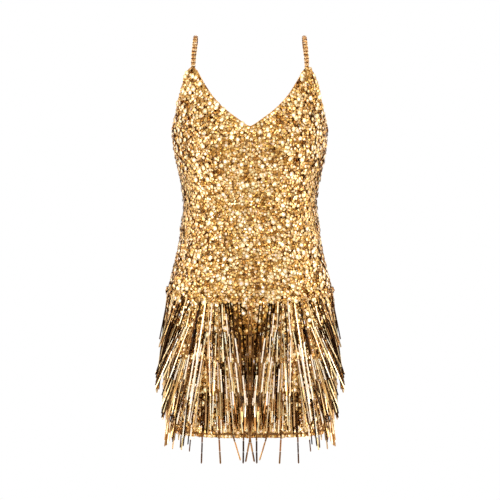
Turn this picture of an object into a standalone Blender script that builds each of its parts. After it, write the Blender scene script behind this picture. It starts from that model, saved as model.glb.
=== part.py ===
"""A sleeveless V-neck slip dress covered with sequins, with thin straps and four tiers of bead fringe.

Every drop is measured down from the top of the shoulder straps, in metres. The dress keeps the hollow form
that it has when worn: the front faces -Y, and the origin lies midway between the undersides of the two
straps, where they turn over the shoulders.
"""

import math
from typing import NamedTuple

import bmesh
import bpy
from mathutils import Vector

# Cloth, seams and trims
WALL = 0.002
SEAM_GAP = 0.0003
HEM_DROP = 0.788
FRONT_BASE_DROP = 0.240
BACK_BASE_DROP = 0.280
PANEL_ROWS_ABOVE = 8
PANEL_ROWS_BELOW = 15
FORM_STEP = 0.002

# Straps
STRAP_WIDTH = 0.009
STRAP_THICKNESS = 0.0035
STRAP_EDGE = 0.0008
STRAP_EDGE_ANGLE = 60.0
STRAP_STEPS = 24
FRONT_STRAP_X = 0.112
FRONT_STRAP_DROP = 0.0735
BACK_STRAP_X = 0.118
BACK_STRAP_DROP = 0.203

# Corded edges
CORD_RADIUS = 0.00175
CORD_SEAT = CORD_RADIUS + 0.0004
CORD_STOP_AT_STRAP = 0.0040
CORD_STOP_AT_SEAM = 0.0012

# How far the straps' ends stay above the panel: in front on the bare peak, behind on the corded edge
FRONT_STRAP_SEAT = 0.0006
BACK_STRAP_SEAT = CORD_SEAT + CORD_RADIUS + 0.0006

# How far each strap has turned level, across the shoulder, one step in from its sewn end
FRONT_STRAP_TURNED = 0.6
BACK_STRAP_TURNED = 0.4

# Front cups, shaped by darts
CUP_PROUD = 0.016
CUP_X = 0.083
CUP_DROP = 0.236
CUP_REACH_ACROSS = 0.043
CUP_REACH_UP = 0.056
CUP_REACH_DOWN = 0.034

# The soft hollow in which the front of the skirt hangs between the hips
HOLLOW_DEPTH = 0.008
HOLLOW_REACH = 0.034
HOLLOW_FROM = 0.540
HOLLOW_FULL = 0.680

# Fringe
STRANDS_PER_TIER = 60
STRAND_WIDTH = 0.003
STRAND_TIP = 0.75
TAPE_HEIGHT = 0.006
TAPE_THICKNESS = 0.003
TAPE_SEAT = 0.0006
LENGTH_SPREAD = 0.08
LEAN_SPREAD = 0.5
LOWEST_TIER_FULL_FROM = 7
LOWEST_TIER_LONG_STRANDS = (1, 4, 6)
LOWEST_TIER_LONG_LENGTH = 0.132


class Section(NamedTuple):
    """The garment's level outline: half its width, and its depth before and behind the side seams."""

    drop: float
    half_width: float
    front: float
    back: float


class EdgePoint(NamedTuple):
    """A point of a cut edge: how far it lies from the centre line, and its drop."""

    x: float
    drop: float


class EdgeAngle(NamedTuple):
    """A point of a cut edge, by its angle from the centre line."""

    angle: float
    drop: float


class EdgeSteps(NamedTuple):
    """How many columns the panel has from its centre line to the strap, and from there to the side seam."""

    inner: int
    outer: int


class StrapPoint(NamedTuple):
    """A point on the centre line of the left strap, between its two sewn ends."""

    x: float
    y: float
    drop: float


class StrapStation(NamedTuple):
    """A place along the left strap, with its distance from the front end and the way its width lies."""

    run: float
    x: float
    y: float
    z: float
    across_x: float
    across_y: float


class Tier(NamedTuple):
    """A row of fringe; each measure runs from the side seams to the centres, and leans are in degrees."""

    name: str
    drop_at_side: float
    drop_at_centre: float
    length_at_side: float
    length_at_centre: float
    lean_at_side: float
    lean_at_centre: float
    sweep: float
    half_step: bool


class Sweep(NamedTuple):
    """How far the strands fan out to the side, in degrees, at an angle from the nearer centre line."""

    angle: float
    degrees: float


class Wave(NamedTuple):
    """A wave round the skirt: turns for each degree, and how far each tier shifts it."""

    turns: float
    shift: float


class Finish(NamedTuple):
    """A plain metal finish for one node."""

    colour: tuple
    roughness: float
    metallic: float


SECTIONS = (
    Section(drop=0.060, half_width=0.1610, front=0.098, back=0.090),
    Section(drop=0.130, half_width=0.1605, front=0.107, back=0.096),
    Section(drop=0.185, half_width=0.1545, front=0.111, back=0.099),
    Section(drop=0.235, half_width=0.1495, front=0.111, back=0.097),
    Section(drop=0.285, half_width=0.1385, front=0.103, back=0.090),
    Section(drop=0.324, half_width=0.1325, front=0.094, back=0.085),
    Section(drop=0.350, half_width=0.1335, front=0.092, back=0.087),
    Section(drop=0.384, half_width=0.1370, front=0.094, back=0.094),
    Section(drop=0.420, half_width=0.1415, front=0.098, back=0.104),
    Section(drop=0.468, half_width=0.1525, front=0.102, back=0.117),
    Section(drop=0.504, half_width=0.1610, front=0.104, back=0.124),
    Section(drop=0.540, half_width=0.1660, front=0.105, back=0.127),
    Section(drop=0.620, half_width=0.1655, front=0.105, back=0.123),
    Section(drop=0.700, half_width=0.1610, front=0.104, back=0.116),
    Section(drop=0.788, half_width=0.1540, front=0.102, back=0.109),
)

NECKLINE = (
    EdgePoint(x=0.0000, drop=0.1935),
    EdgePoint(x=0.0080, drop=0.1900),
    EdgePoint(x=0.0210, drop=0.1810),
    EdgePoint(x=0.0510, drop=0.1575),
    EdgePoint(x=0.0740, drop=0.1325),
    EdgePoint(x=0.0900, drop=0.1075),
    EdgePoint(x=0.1020, drop=0.0855),
    EdgePoint(x=FRONT_STRAP_X - STRAP_WIDTH / 2, drop=FRONT_STRAP_DROP),
)

ARMHOLE = (
    EdgePoint(x=FRONT_STRAP_X + STRAP_WIDTH / 2, drop=FRONT_STRAP_DROP),
    EdgePoint(x=0.1242, drop=0.0875),
    EdgePoint(x=0.1315, drop=0.1080),
    EdgePoint(x=0.1370, drop=0.1290),
    EdgePoint(x=0.1430, drop=0.1510),
    EdgePoint(x=0.1495, drop=0.1730),
    EdgePoint(x=0.1540, drop=0.1930),
)

BACK_DIP = (
    EdgePoint(x=0.0000, drop=0.2460),
    EdgePoint(x=0.0450, drop=0.2410),
    EdgePoint(x=0.0900, drop=0.2200),
    EdgePoint(x=BACK_STRAP_X - STRAP_WIDTH / 2, drop=BACK_STRAP_DROP),
)

BACK_UNDERARM = (
    EdgePoint(x=BACK_STRAP_X + STRAP_WIDTH / 2, drop=BACK_STRAP_DROP),
    EdgePoint(x=0.1380, drop=0.2060),
    EdgePoint(x=0.1500, drop=0.2010),
    EdgePoint(x=0.1540, drop=0.1930),
)

STRAP_PATH = (
    StrapPoint(x=0.1112, y=-0.0690, drop=0.0560),
    StrapPoint(x=0.1095, y=-0.0560, drop=0.0290),
    StrapPoint(x=0.1082, y=-0.0310, drop=0.0083),
    StrapPoint(x=0.1080, y=0.0000, drop=STRAP_THICKNESS / 2),
    StrapPoint(x=0.1094, y=0.0310, drop=0.0095),
    StrapPoint(x=0.1135, y=0.0530, drop=0.0350),
    StrapPoint(x=0.1172, y=0.0650, drop=0.0760),
    StrapPoint(x=0.1190, y=0.0675, drop=0.1250),
    StrapPoint(x=0.1185, y=0.0660, drop=0.1680),
)

FRONT_STEPS = EdgeSteps(inner=9, outer=9)
BACK_STEPS = EdgeSteps(inner=8, outer=6)

TIERS = (
    Tier("fringe_tier_1", drop_at_side=0.504, drop_at_centre=0.525, length_at_side=0.126,
         length_at_centre=0.128, lean_at_side=8.5, lean_at_centre=6.0, sweep=1.0, half_step=True),
    Tier("fringe_tier_2", drop_at_side=0.564, drop_at_centre=0.585, length_at_side=0.128,
         length_at_centre=0.128, lean_at_side=7.5, lean_at_centre=6.0, sweep=1.0, half_step=False),
    Tier("fringe_tier_3", drop_at_side=0.628, drop_at_centre=0.644, length_at_side=0.126,
         length_at_centre=0.128, lean_at_side=6.0, lean_at_centre=6.0, sweep=0.65, half_step=True),
    Tier("fringe_tier_4", drop_at_side=0.692, drop_at_centre=0.702, length_at_side=0.116,
         length_at_centre=0.100, lean_at_side=4.0, lean_at_centre=5.0, sweep=0.2, half_step=False),
)

SWEEPS = (
    Sweep(angle=0.0, degrees=0.0),
    Sweep(angle=8.0, degrees=-4.0),
    Sweep(angle=20.0, degrees=-4.0),
    Sweep(angle=28.0, degrees=2.0),
    Sweep(angle=38.0, degrees=9.0),
    Sweep(angle=46.0, degrees=18.0),
    Sweep(angle=54.0, degrees=23.0),
    Sweep(angle=66.0, degrees=19.0),
    Sweep(angle=78.0, degrees=9.0),
    Sweep(angle=90.0, degrees=0.0),
)

FAST_WAVE = Wave(turns=2.4, shift=5.1)
SLOW_WAVE = Wave(turns=0.73, shift=1.7)

FINISHES = {
    "front_panel": Finish(colour=(0.60, 0.36, 0.13), roughness=0.30, metallic=0.85),
    "back_panel": Finish(colour=(0.56, 0.33, 0.12), roughness=0.30, metallic=0.85),
    "strap_left": Finish(colour=(0.48, 0.28, 0.10), roughness=0.40, metallic=0.80),
    "strap_right": Finish(colour=(0.48, 0.28, 0.10), roughness=0.40, metallic=0.80),
    "neckline_edging": Finish(colour=(0.66, 0.42, 0.18), roughness=0.35, metallic=0.80),
    "armhole_edging_left": Finish(colour=(0.64, 0.40, 0.17), roughness=0.35, metallic=0.80),
    "armhole_edging_right": Finish(colour=(0.64, 0.40, 0.17), roughness=0.35, metallic=0.80),
    "back_edging": Finish(colour=(0.62, 0.39, 0.16), roughness=0.35, metallic=0.80),
    "fringe_tier_1": Finish(colour=(0.52, 0.30, 0.10), roughness=0.20, metallic=0.95),
    "fringe_tier_2": Finish(colour=(0.52, 0.30, 0.10), roughness=0.20, metallic=0.95),
    "fringe_tier_3": Finish(colour=(0.52, 0.30, 0.10), roughness=0.20, metallic=0.95),
    "fringe_tier_4": Finish(colour=(0.52, 0.30, 0.10), roughness=0.20, metallic=0.95),
}


def clear_scene():
    for item in list(bpy.data.objects):
        bpy.data.objects.remove(item, do_unlink=True)


def smooth_value(rows, key, column, at):
    """Read one column of a table on a smooth curve through its rows, at a value of the key column."""
    keys = [getattr(row, key) for row in rows]
    values = [getattr(row, column) for row in rows]
    at = min(max(at, keys[0]), keys[-1])
    i = max(k for k in range(len(keys) - 1) if keys[k] <= at)

    def slope(k):
        low, high = max(k - 1, 0), min(k + 1, len(keys) - 1)
        return (values[high] - values[low]) / (keys[high] - keys[low])

    span = keys[i + 1] - keys[i]
    t = (at - keys[i]) / span
    rise = values[i + 1] - values[i]
    start, end = slope(i) * span, slope(i + 1) * span
    return values[i] + t * (start + t * (3 * rise - 2 * start - end + t * (start + end - 2 * rise)))


def soft_step(value, start, full):
    t = min(max((value - start) / (full - start), 0.0), 1.0)
    return t * t * (3 - 2 * t)


def height(drop):
    return STRAP_THICKNESS - drop


def cup_proud(x, drop):
    """How far the two cups stand in front of the section, at a place on the front."""
    reach = CUP_REACH_UP if drop < CUP_DROP else CUP_REACH_DOWN
    down = math.exp(-0.5 * ((drop - CUP_DROP) / reach) ** 2)
    across = sum(math.exp(-0.5 * ((x - side * CUP_X) / CUP_REACH_ACROSS) ** 2) for side in (-1, 1))
    return CUP_PROUD * down * across


def hollow_depth(x, drop):
    """How deep the front of the skirt falls in at the centre."""
    return HOLLOW_DEPTH * soft_step(drop, HOLLOW_FROM, HOLLOW_FULL) * math.exp(-0.5 * (x / HOLLOW_REACH) ** 2)


def cloth_point(angle, drop):
    """A point on the outer face of the cloth; the angle runs from the centre front towards +X."""
    half_width = smooth_value(SECTIONS, "drop", "half_width", drop)
    x = half_width * math.sin(angle)
    facing = math.cos(angle)
    if facing >= 0:
        depth = smooth_value(SECTIONS, "drop", "front", drop)
        y = -depth * facing - (cup_proud(x, drop) - hollow_depth(x, drop)) * facing
    else:
        y = -smooth_value(SECTIONS, "drop", "back", drop) * facing
    return Vector((x, y, height(drop)))


def cloth_normal(angle, drop):
    """The outward direction at a point of the cloth."""
    around = cloth_point(angle + FORM_STEP, drop) - cloth_point(angle - FORM_STEP, drop)
    down = cloth_point(angle, drop + FORM_STEP) - cloth_point(angle, drop - FORM_STEP)
    return down.cross(around).normalized()


def angle_of(x, drop):
    """The angle at which the front of the cloth reaches x."""
    half_width = smooth_value(SECTIONS, "drop", "half_width", drop)
    return math.asin(min(x / half_width, 1.0))


def by_angle(edge):
    return tuple(EdgeAngle(angle_of(point.x, point.drop), point.drop) for point in edge)


def half_edge(inner, outer, steps):
    """The top edge of half a panel, from the centre line to the side seam, one point for each column."""
    points = []
    for stretch, count in ((by_angle(inner), steps.inner), (by_angle(outer), steps.outer)):
        start, end = stretch[0].angle, stretch[-1].angle
        for i in range(count + 1):
            angle = start + (end - start) * i / count
            points.append(EdgeAngle(angle, smooth_value(stretch, "angle", "drop", angle)))
    return points


def whole_edge(half):
    """The half edge and its mirror image, from one side seam to the other."""
    mirrored = [EdgeAngle(-point.angle, point.drop) for point in reversed(half[1:])]
    return mirrored + half


def finish_material(name):
    """The node's own material."""
    finish = FINISHES[name]
    material = bpy.data.materials.new(f"{name}_finish")
    material.use_nodes = True
    shader = material.node_tree.nodes["Principled BSDF"]
    shader.inputs["Base Color"].default_value = (*finish.colour, 1.0)
    shader.inputs["Roughness"].default_value = finish.roughness
    shader.inputs["Metallic"].default_value = finish.metallic
    return material


def new_object(name, data, collection):
    """An object of a mesh or a curve, in its own finish."""
    item = bpy.data.objects.new(name, data)
    item.data.materials.append(finish_material(name))
    collection.objects.link(item)
    return item


def mesh_of(name, vertices, faces):
    mesh = bpy.data.meshes.new(name)
    mesh.from_pydata([tuple(v) for v in vertices], [], faces)
    mesh.update()
    return mesh


def row_drops(top, base_drop):
    """The drops of one column's points: even steps to the base line, then even steps to the hem."""
    above = [top + (base_drop - top) * k / PANEL_ROWS_ABOVE for k in range(PANEL_ROWS_ABOVE)]
    step = (HEM_DROP - base_drop) / PANEL_ROWS_BELOW
    return above + [base_drop + step * k for k in range(PANEL_ROWS_BELOW + 1)]


def panel(name, edge, turn, base_drop, collection):
    """A panel lofted between its top edge and the hem; turn is 0 for the front and pi for the back."""
    vertices = []
    seam_side = -1 if turn == 0 else 1
    for i, point in enumerate(edge):
        for drop in row_drops(point.drop, base_drop):
            corner = cloth_point(point.angle + turn, drop)
            if i in (0, len(edge) - 1):
                corner.y = seam_side * SEAM_GAP / 2
            vertices.append(corner)
    rows = PANEL_ROWS_ABOVE + PANEL_ROWS_BELOW + 1
    faces = []
    for i in range(len(edge) - 1):
        for j in range(rows - 1):
            a = i * rows + j
            faces.append((a, a + 1, a + rows + 1, a + rows))
    item = new_object(name, mesh_of(name, vertices, faces), collection)
    solid = item.modifiers.new("cloth thickness", "SOLIDIFY")
    solid.thickness = WALL
    solid.offset = -1.0


def cord_path(edge, turn):
    """The centre line of a cord that lies along a cut edge, just clear of it."""
    points = [cloth_point(point.angle + turn, point.drop) for point in edge]
    normals = [cloth_normal(point.angle + turn, point.drop) for point in edge]
    path = []
    for i, (point, normal) in enumerate(zip(points, normals)):
        before = points[max(i - 1, 0)]
        after = points[min(i + 1, len(points) - 1)]
        aside = []
        for step in (point - before, after - point):
            if step.length > 0:
                away = step.cross(normal).normalized()
                aside.append(away if away.z > 0 else -away)
        lift = sum(aside, Vector()) / len(aside)
        path.append(point - normal * WALL / 2 + lift * CORD_SEAT / lift.length_squared)
    return path


def cord(name, path, collection):
    """A round corded edge as a tube along its path."""
    curve = bpy.data.curves.new(name, "CURVE")
    curve.dimensions = "3D"
    curve.bevel_depth = CORD_RADIUS
    curve.bevel_resolution = 1
    curve.use_fill_caps = True
    spline = curve.splines.new("POLY")
    spline.points.add(len(path) - 1)
    for knot, place in zip(spline.points, path):
        knot.co = (*place, 1.0)
    new_object(name, curve, collection)


def trimmed(edge, stop_at_start, stop_at_end):
    """An edge whose end points are drawn back along it, to leave room for a strap."""
    points = list(edge)
    ends = ((0, 1, stop_at_start), (-1, -2, stop_at_end))
    for end, inside, stop in ends:
        span = (cloth_point(*points[end]) - cloth_point(*points[inside])).length
        share = stop / span
        angle = points[end].angle + (points[inside].angle - points[end].angle) * share
        drop = points[end].drop + (points[inside].drop - points[end].drop) * share
        points[end] = EdgeAngle(angle, drop)
    return points


def strap_end(x, drop, turn, seat):
    """Where a strap meets a panel's top: a point in the middle of the wall, and the way the wall runs."""
    mirrored = 1 if turn == 0 else -1
    angle = turn + mirrored * angle_of(x, drop)
    point = cloth_point(angle, drop) - cloth_normal(angle, drop) * WALL / 2
    point.z += seat
    step = mirrored * FORM_STEP
    across = cloth_point(angle + step, drop) - cloth_point(angle - step, drop)
    return point, across.normalized()


def strap_stations():
    """Even steps along the left strap's centre line, from its front end to its back end."""
    front, front_across = strap_end(FRONT_STRAP_X, FRONT_STRAP_DROP, 0.0, FRONT_STRAP_SEAT)
    back, back_across = strap_end(BACK_STRAP_X, BACK_STRAP_DROP, math.pi, BACK_STRAP_SEAT)
    places = [Vector((point.x, point.y, height(point.drop))) for point in STRAP_PATH]
    places = [front] + places + [back]
    level = Vector((1.0, 0.0, 0.0))
    across = [front_across, front_across.lerp(level, FRONT_STRAP_TURNED)] + [level] * (len(places) - 4)
    across += [back_across.lerp(level, BACK_STRAP_TURNED), back_across]
    rows = []
    run = 0.0
    for i, (place, way) in enumerate(zip(places, across)):
        run += (place - places[max(i - 1, 0)]).length
        rows.append(StrapStation(run, *place, way.x, way.y))
    columns = StrapStation._fields[1:]
    steps = [run * k / STRAP_STEPS for k in range(STRAP_STEPS + 1)]
    return [StrapStation(at, *(smooth_value(rows, "run", column, at) for column in columns)) for at in steps]


def strap(name, side, collection):
    """A flat strap from the front to the back, as a ribbon with thickness and eased edges."""
    vertices = []
    for station in strap_stations():
        middle = Vector((side * station.x, station.y, station.z))
        across = Vector((station.across_x, side * station.across_y, 0.0)).normalized()
        vertices.append(middle - across * STRAP_WIDTH / 2)
        vertices.append(middle + across * STRAP_WIDTH / 2)
    faces = [(k, k + 1, k + 3, k + 2) for k in range(0, len(vertices) - 2, 2)]
    item = new_object(name, mesh_of(name, vertices, faces), collection)
    solid = item.modifiers.new("strap thickness", "SOLIDIFY")
    solid.thickness = STRAP_THICKNESS
    solid.offset = 0.0
    solid.use_even_offset = True
    edges = item.modifiers.new("eased edges", "BEVEL")
    edges.width = STRAP_EDGE
    edges.segments = 1
    edges.limit_method = "ANGLE"
    edges.angle_limit = math.radians(STRAP_EDGE_ANGLE)


def tier_drop(tier, angle):
    """The drop of a tier's tape: it dips towards the centre front and centre back."""
    return tier.drop_at_side + (tier.drop_at_centre - tier.drop_at_side) * math.cos(angle) ** 2


def strand_angles(tier):
    """The angles of a tier's strands, the same on both sides of the centre line."""
    step = 2 * math.pi / STRANDS_PER_TIER
    first = step / 2 if tier.half_step else 0.0
    return [first + step * k for k in range(STRANDS_PER_TIER)]


def from_centre(angle):
    """The angle from the nearer of centre front and centre back, from 0 to a right angle."""
    return math.asin(min(abs(math.sin(angle)), 1.0))


def uneven(tier_number, angle):
    """A settled unevenness from -1 to 1 that is the same on the left and on the right."""
    turned = math.degrees(math.acos(max(-1.0, min(1.0, math.cos(angle)))))
    fast = math.sin(FAST_WAVE.turns * turned + FAST_WAVE.shift * tier_number)
    return fast * math.cos(SLOW_WAVE.turns * turned + SLOW_WAVE.shift * tier_number)


def strand_length(tier, tier_number, angle):
    """A strand's length; near the centre of the lowest tier only a few strands hang past the hem."""
    step = round(math.degrees(from_centre(angle)) * STRANDS_PER_TIER / 360.0)
    if tier is TIERS[-1] and step < LOWEST_TIER_FULL_FROM:
        if step in LOWEST_TIER_LONG_STRANDS:
            return LOWEST_TIER_LONG_LENGTH
        return HEM_DROP - tier_drop(tier, angle) - TAPE_HEIGHT - 2 * STRAND_WIDTH
    at_side = math.sin(angle) ** 2
    length = tier.length_at_centre + (tier.length_at_side - tier.length_at_centre) * at_side
    return length * (1 + LENGTH_SPREAD * uneven(tier_number, angle))


def strand_run(tier, tier_number, angle):
    """The vector from a strand's root to its tip."""
    outward = cloth_normal(angle, tier_drop(tier, angle))
    outward.z = 0.0
    outward.normalize()
    sideways = Vector((-outward.y, outward.x, 0.0))
    at_side = math.sin(angle) ** 2
    lean = tier.lean_at_centre + (tier.lean_at_side - tier.lean_at_centre) * at_side
    lean += LEAN_SPREAD * uneven(tier_number + len(TIERS), angle)
    sweep = tier.sweep * smooth_value(SWEEPS, "angle", "degrees", math.degrees(from_centre(angle)))
    sweep = math.copysign(sweep, sweep * math.sin(2 * angle))
    run = Vector((0.0, 0.0, -1.0))
    run += outward * math.tan(math.radians(lean)) + sideways * math.tan(math.radians(sweep))
    return run.normalized() * strand_length(tier, tier_number, angle)


def tape_sections(tier):
    """The corners of the tape on both sides of each strand, in order round the skirt."""
    sections = []
    for angle in strand_angles(tier):
        drop = tier_drop(tier, angle)
        span = cloth_point(angle + FORM_STEP, drop) - cloth_point(angle - FORM_STEP, drop)
        speed = span.length / (2 * FORM_STEP)
        half = STRAND_WIDTH / 2 / speed
        for place in (angle - half, angle + half):
            top = tier_drop(tier, place)
            corners = []
            for level in (top, top + TAPE_HEIGHT):
                point, normal = cloth_point(place, level), cloth_normal(place, level)
                corners.append(point + normal * TAPE_SEAT)
                corners.append(point + normal * (TAPE_SEAT + TAPE_THICKNESS))
            sections.append(corners)
    return sections


def draw_out(drawn, run):
    """Move a drawn face to its strand's tip, a little smaller than the root."""
    centre = drawn.calc_center_median()
    for vertex in drawn.verts:
        vertex.co = centre + (vertex.co - centre) * STRAND_TIP + run


def fringe(tier, tier_number, collection):
    """A narrow tape round the skirt with its strands drawn down out of the tape's lower edge."""
    mesh = bmesh.new()
    rings = [[mesh.verts.new(corner) for corner in corners] for corners in tape_sections(tier)]
    roots = []
    for i, (inner_top, outer_top, inner_low, outer_low) in enumerate(rings):
        next_inner_top, next_outer_top, next_inner_low, next_outer_low = rings[(i + 1) % len(rings)]
        mesh.faces.new((inner_top, outer_top, next_outer_top, next_inner_top))
        mesh.faces.new((outer_top, outer_low, next_outer_low, next_outer_top))
        lower = mesh.faces.new((outer_low, inner_low, next_inner_low, next_outer_low))
        mesh.faces.new((inner_low, inner_top, next_inner_top, next_inner_low))
        if i % 2 == 0:
            roots.append(lower)
    for root, angle in zip(roots, strand_angles(tier)):
        drawn = bmesh.ops.extrude_discrete_faces(mesh, faces=[root])["faces"][0]
        draw_out(drawn, strand_run(tier, tier_number, angle))
    bmesh.ops.recalc_face_normals(mesh, faces=mesh.faces)
    data = bpy.data.meshes.new(tier.name)
    mesh.to_mesh(data)
    mesh.free()
    new_object(tier.name, data, collection)


def build():
    clear_scene()
    collection = bpy.data.collections.new("sequin_fringe_slip_dress")
    bpy.context.scene.collection.children.link(collection)

    neckline = half_edge(NECKLINE, ARMHOLE, FRONT_STEPS)
    back_edge = half_edge(BACK_DIP, BACK_UNDERARM, BACK_STEPS)
    panel("front_panel", whole_edge(neckline), 0.0, FRONT_BASE_DROP, collection)
    panel("back_panel", whole_edge(back_edge), math.pi, BACK_BASE_DROP, collection)

    at_strap = FRONT_STEPS.inner + 1
    v_edge = trimmed(whole_edge(neckline[:at_strap]), CORD_STOP_AT_STRAP, CORD_STOP_AT_STRAP)
    cord("neckline_edging", cord_path(v_edge, 0.0), collection)
    low_edge = trimmed(whole_edge(back_edge), CORD_STOP_AT_SEAM, CORD_STOP_AT_SEAM)
    cord("back_edging", cord_path(low_edge, math.pi), collection)

    armhole = trimmed(neckline[at_strap:], CORD_STOP_AT_STRAP, CORD_STOP_AT_SEAM)
    for label, side in (("left", 1), ("right", -1)):
        strap(f"strap_{label}", side, collection)
        turned = [EdgeAngle(side * point.angle, point.drop) for point in armhole]
        cord(f"armhole_edging_{label}", cord_path(turned, 0.0), collection)

    for number, tier in enumerate(TIERS, start=1):
        fringe(tier, number, collection)


if __name__ == "__main__":
    build()
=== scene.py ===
"""A gold sequinned slip dress with tiers of bead fringe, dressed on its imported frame.

The frame gives the solids. This script puts the finished cloth, sequins, beads and bead strands in their
places, and sets a plain studio round them. A drop is measured down from the top of the shoulder straps, and
an angle from the centre front towards +X, in radians where nothing else is said.
"""

import logging
import math
from dataclasses import dataclass, field
from enum import Enum
from typing import Any, Callable

import bpy
import numpy as np
from mathutils import Matrix, Vector


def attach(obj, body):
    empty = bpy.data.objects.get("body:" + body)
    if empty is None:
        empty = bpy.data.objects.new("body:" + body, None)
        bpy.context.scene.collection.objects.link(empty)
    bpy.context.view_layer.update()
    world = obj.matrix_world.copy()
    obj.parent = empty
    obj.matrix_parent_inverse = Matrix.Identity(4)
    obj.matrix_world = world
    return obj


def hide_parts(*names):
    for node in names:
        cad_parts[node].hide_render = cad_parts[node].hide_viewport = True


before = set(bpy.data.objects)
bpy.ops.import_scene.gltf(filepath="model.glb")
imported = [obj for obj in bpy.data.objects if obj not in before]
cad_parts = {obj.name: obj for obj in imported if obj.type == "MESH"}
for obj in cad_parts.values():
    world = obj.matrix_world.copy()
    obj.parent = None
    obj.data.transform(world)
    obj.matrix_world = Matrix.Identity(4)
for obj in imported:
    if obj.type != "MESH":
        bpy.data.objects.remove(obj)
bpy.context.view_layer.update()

LOG = logging.getLogger("dress")

Points = np.ndarray
Random = np.random.Generator
Pair = tuple[Points, Points]
Piece = bpy.types.Object
Stretch = tuple[float, float]
Rows = tuple[tuple[float, ...], ...]
Colour = tuple[float, float, float]
Ramp = tuple[tuple[float, Colour | float], ...]

STRAP_THICKNESS = 0.0035
HEM_DROP = 0.788
QUARTER = math.pi / 2
BEAD_TURN = 6.28
NEARLY_UPRIGHT = 0.9
PANEL_ANGLES = np.linspace(-QUARTER, QUARTER, 721)


class Side(Enum):
    """The two panels of the dress, each by the angle of its own centre line from the centre front."""

    FRONT = 0.0
    BACK = math.pi


# ---------------------------------------------------------------- shapes of the garment

# Level outlines: drop, half the width, and the depth before and behind the side seams.
SECTIONS: Rows = (
    (0.060, 0.1610, 0.098, 0.090), (0.130, 0.1605, 0.107, 0.096), (0.185, 0.1545, 0.111, 0.099),
    (0.235, 0.1495, 0.111, 0.097), (0.285, 0.1385, 0.103, 0.090), (0.324, 0.1325, 0.094, 0.085),
    (0.350, 0.1335, 0.092, 0.087), (0.384, 0.1370, 0.094, 0.094), (0.420, 0.1415, 0.098, 0.104),
    (0.468, 0.1525, 0.102, 0.117), (0.504, 0.1610, 0.104, 0.124), (0.540, 0.1660, 0.105, 0.127),
    (0.620, 0.1655, 0.105, 0.123), (0.700, 0.1610, 0.104, 0.116), (0.788, 0.1540, 0.102, 0.109),
)
# Soft troughs in the cloth: angle, drop, slant, length, width and depth, with angle and slant in degrees.
CREASES: Rows = (
    (62, 0.300, 24, 0.045, 0.010, 0.0016), (-58, 0.312, -18, 0.050, 0.011, 0.0014),
    (70, 0.345, 6, 0.040, 0.009, 0.0014), (-72, 0.352, -10, 0.042, 0.010, 0.0016),
    (30, 0.372, -14, 0.060, 0.014, 0.0012), (-34, 0.392, 10, 0.055, 0.013, 0.0012),
    (118, 0.318, -16, 0.055, 0.011, 0.0018), (-122, 0.330, 14, 0.050, 0.012, 0.0016),
    (156, 0.352, 8, 0.060, 0.012, 0.0016), (-150, 0.372, -9, 0.058, 0.012, 0.0014),
    (78, 0.205, 58, 0.035, 0.009, 0.0014), (-80, 0.210, -62, 0.035, 0.009, 0.0013),
)
# Cut edges: how far a point lies from the centre line, and its drop.
NECKLINE: Rows = (
    (0.0000, 0.1935), (0.0080, 0.1900), (0.0210, 0.1810), (0.0510, 0.1575),
    (0.0740, 0.1325), (0.0900, 0.1075), (0.1020, 0.0855), (0.1075, 0.0735),
)
ARMHOLE: Rows = (
    (0.1165, 0.0735), (0.1242, 0.0875), (0.1315, 0.1080), (0.1370, 0.1290),
    (0.1430, 0.1510), (0.1495, 0.1730), (0.1540, 0.1930),
)
BACK_DIP: Rows = ((0.0000, 0.2460), (0.0450, 0.2410), (0.0900, 0.2200), (0.1135, 0.2030))
BACK_UNDERARM: Rows = ((0.1225, 0.2030), (0.1380, 0.2060), (0.1500, 0.2010), (0.1540, 0.1930))


def smooth_curve(rows: Rows | Points, at: Points) -> Points:
    """Read a table on a smooth curve through its rows, held at its ends.

    Args:
        rows: the table, rising in its first column.
        at: the places to read.

    Returns:
        The other columns at each place.
    """
    table = np.asarray(rows, float)
    key, value = table[:, 0], table[:, 1:]
    last, number = len(key) - 1, np.arange(len(key))
    low, high = np.maximum(number - 1, 0), np.minimum(number + 1, last)
    slope = (value[high] - value[low]) / (key[high] - key[low])[:, None]
    at = np.clip(np.asarray(at, float), key[0], key[-1])
    i = np.clip(np.searchsorted(key, at, side="right") - 1, 0, last - 1)
    span = (key[i + 1] - key[i])[..., None]
    t = (at - key[i])[..., None] / span
    rise = value[i + 1] - value[i]
    start, end = slope[i] * span, slope[i + 1] * span
    return value[i] + t * (start + t * (3 * rise - 2 * start - end + t * (start + end - 2 * rise)))


def soft_step(value: Points, start: float, full: float) -> Points:
    """Rise smoothly from 0 at start to 1 at full."""
    t = np.clip((value - start) / (full - start), 0.0, 1.0)
    return t * t * (3 - 2 * t)


def bell(value: Points, width: float) -> Points:
    """A soft hump that is 1 at zero."""
    return np.exp(-0.5 * (value / width) ** 2)


def unit(vectors: Points) -> Points:
    """The vectors at length one."""
    return vectors / np.maximum(np.linalg.norm(vectors, axis=-1, keepdims=True), 1e-12)


def height(drop: Points) -> Points:
    """The Z of a drop below the top of the straps."""
    return STRAP_THICKNESS - drop


def run_along(path: Points) -> Points:
    """The distance along a path at each of its points."""
    return np.concatenate([[0], np.cumsum(np.linalg.norm(np.diff(path, axis=0), axis=1))])


def on_path(at: Points, run: Points, path: Points) -> Points:
    """The path's points at distances along it."""
    return np.stack([np.interp(at, run, path[:, k]) for k in range(3)], axis=-1)


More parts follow.
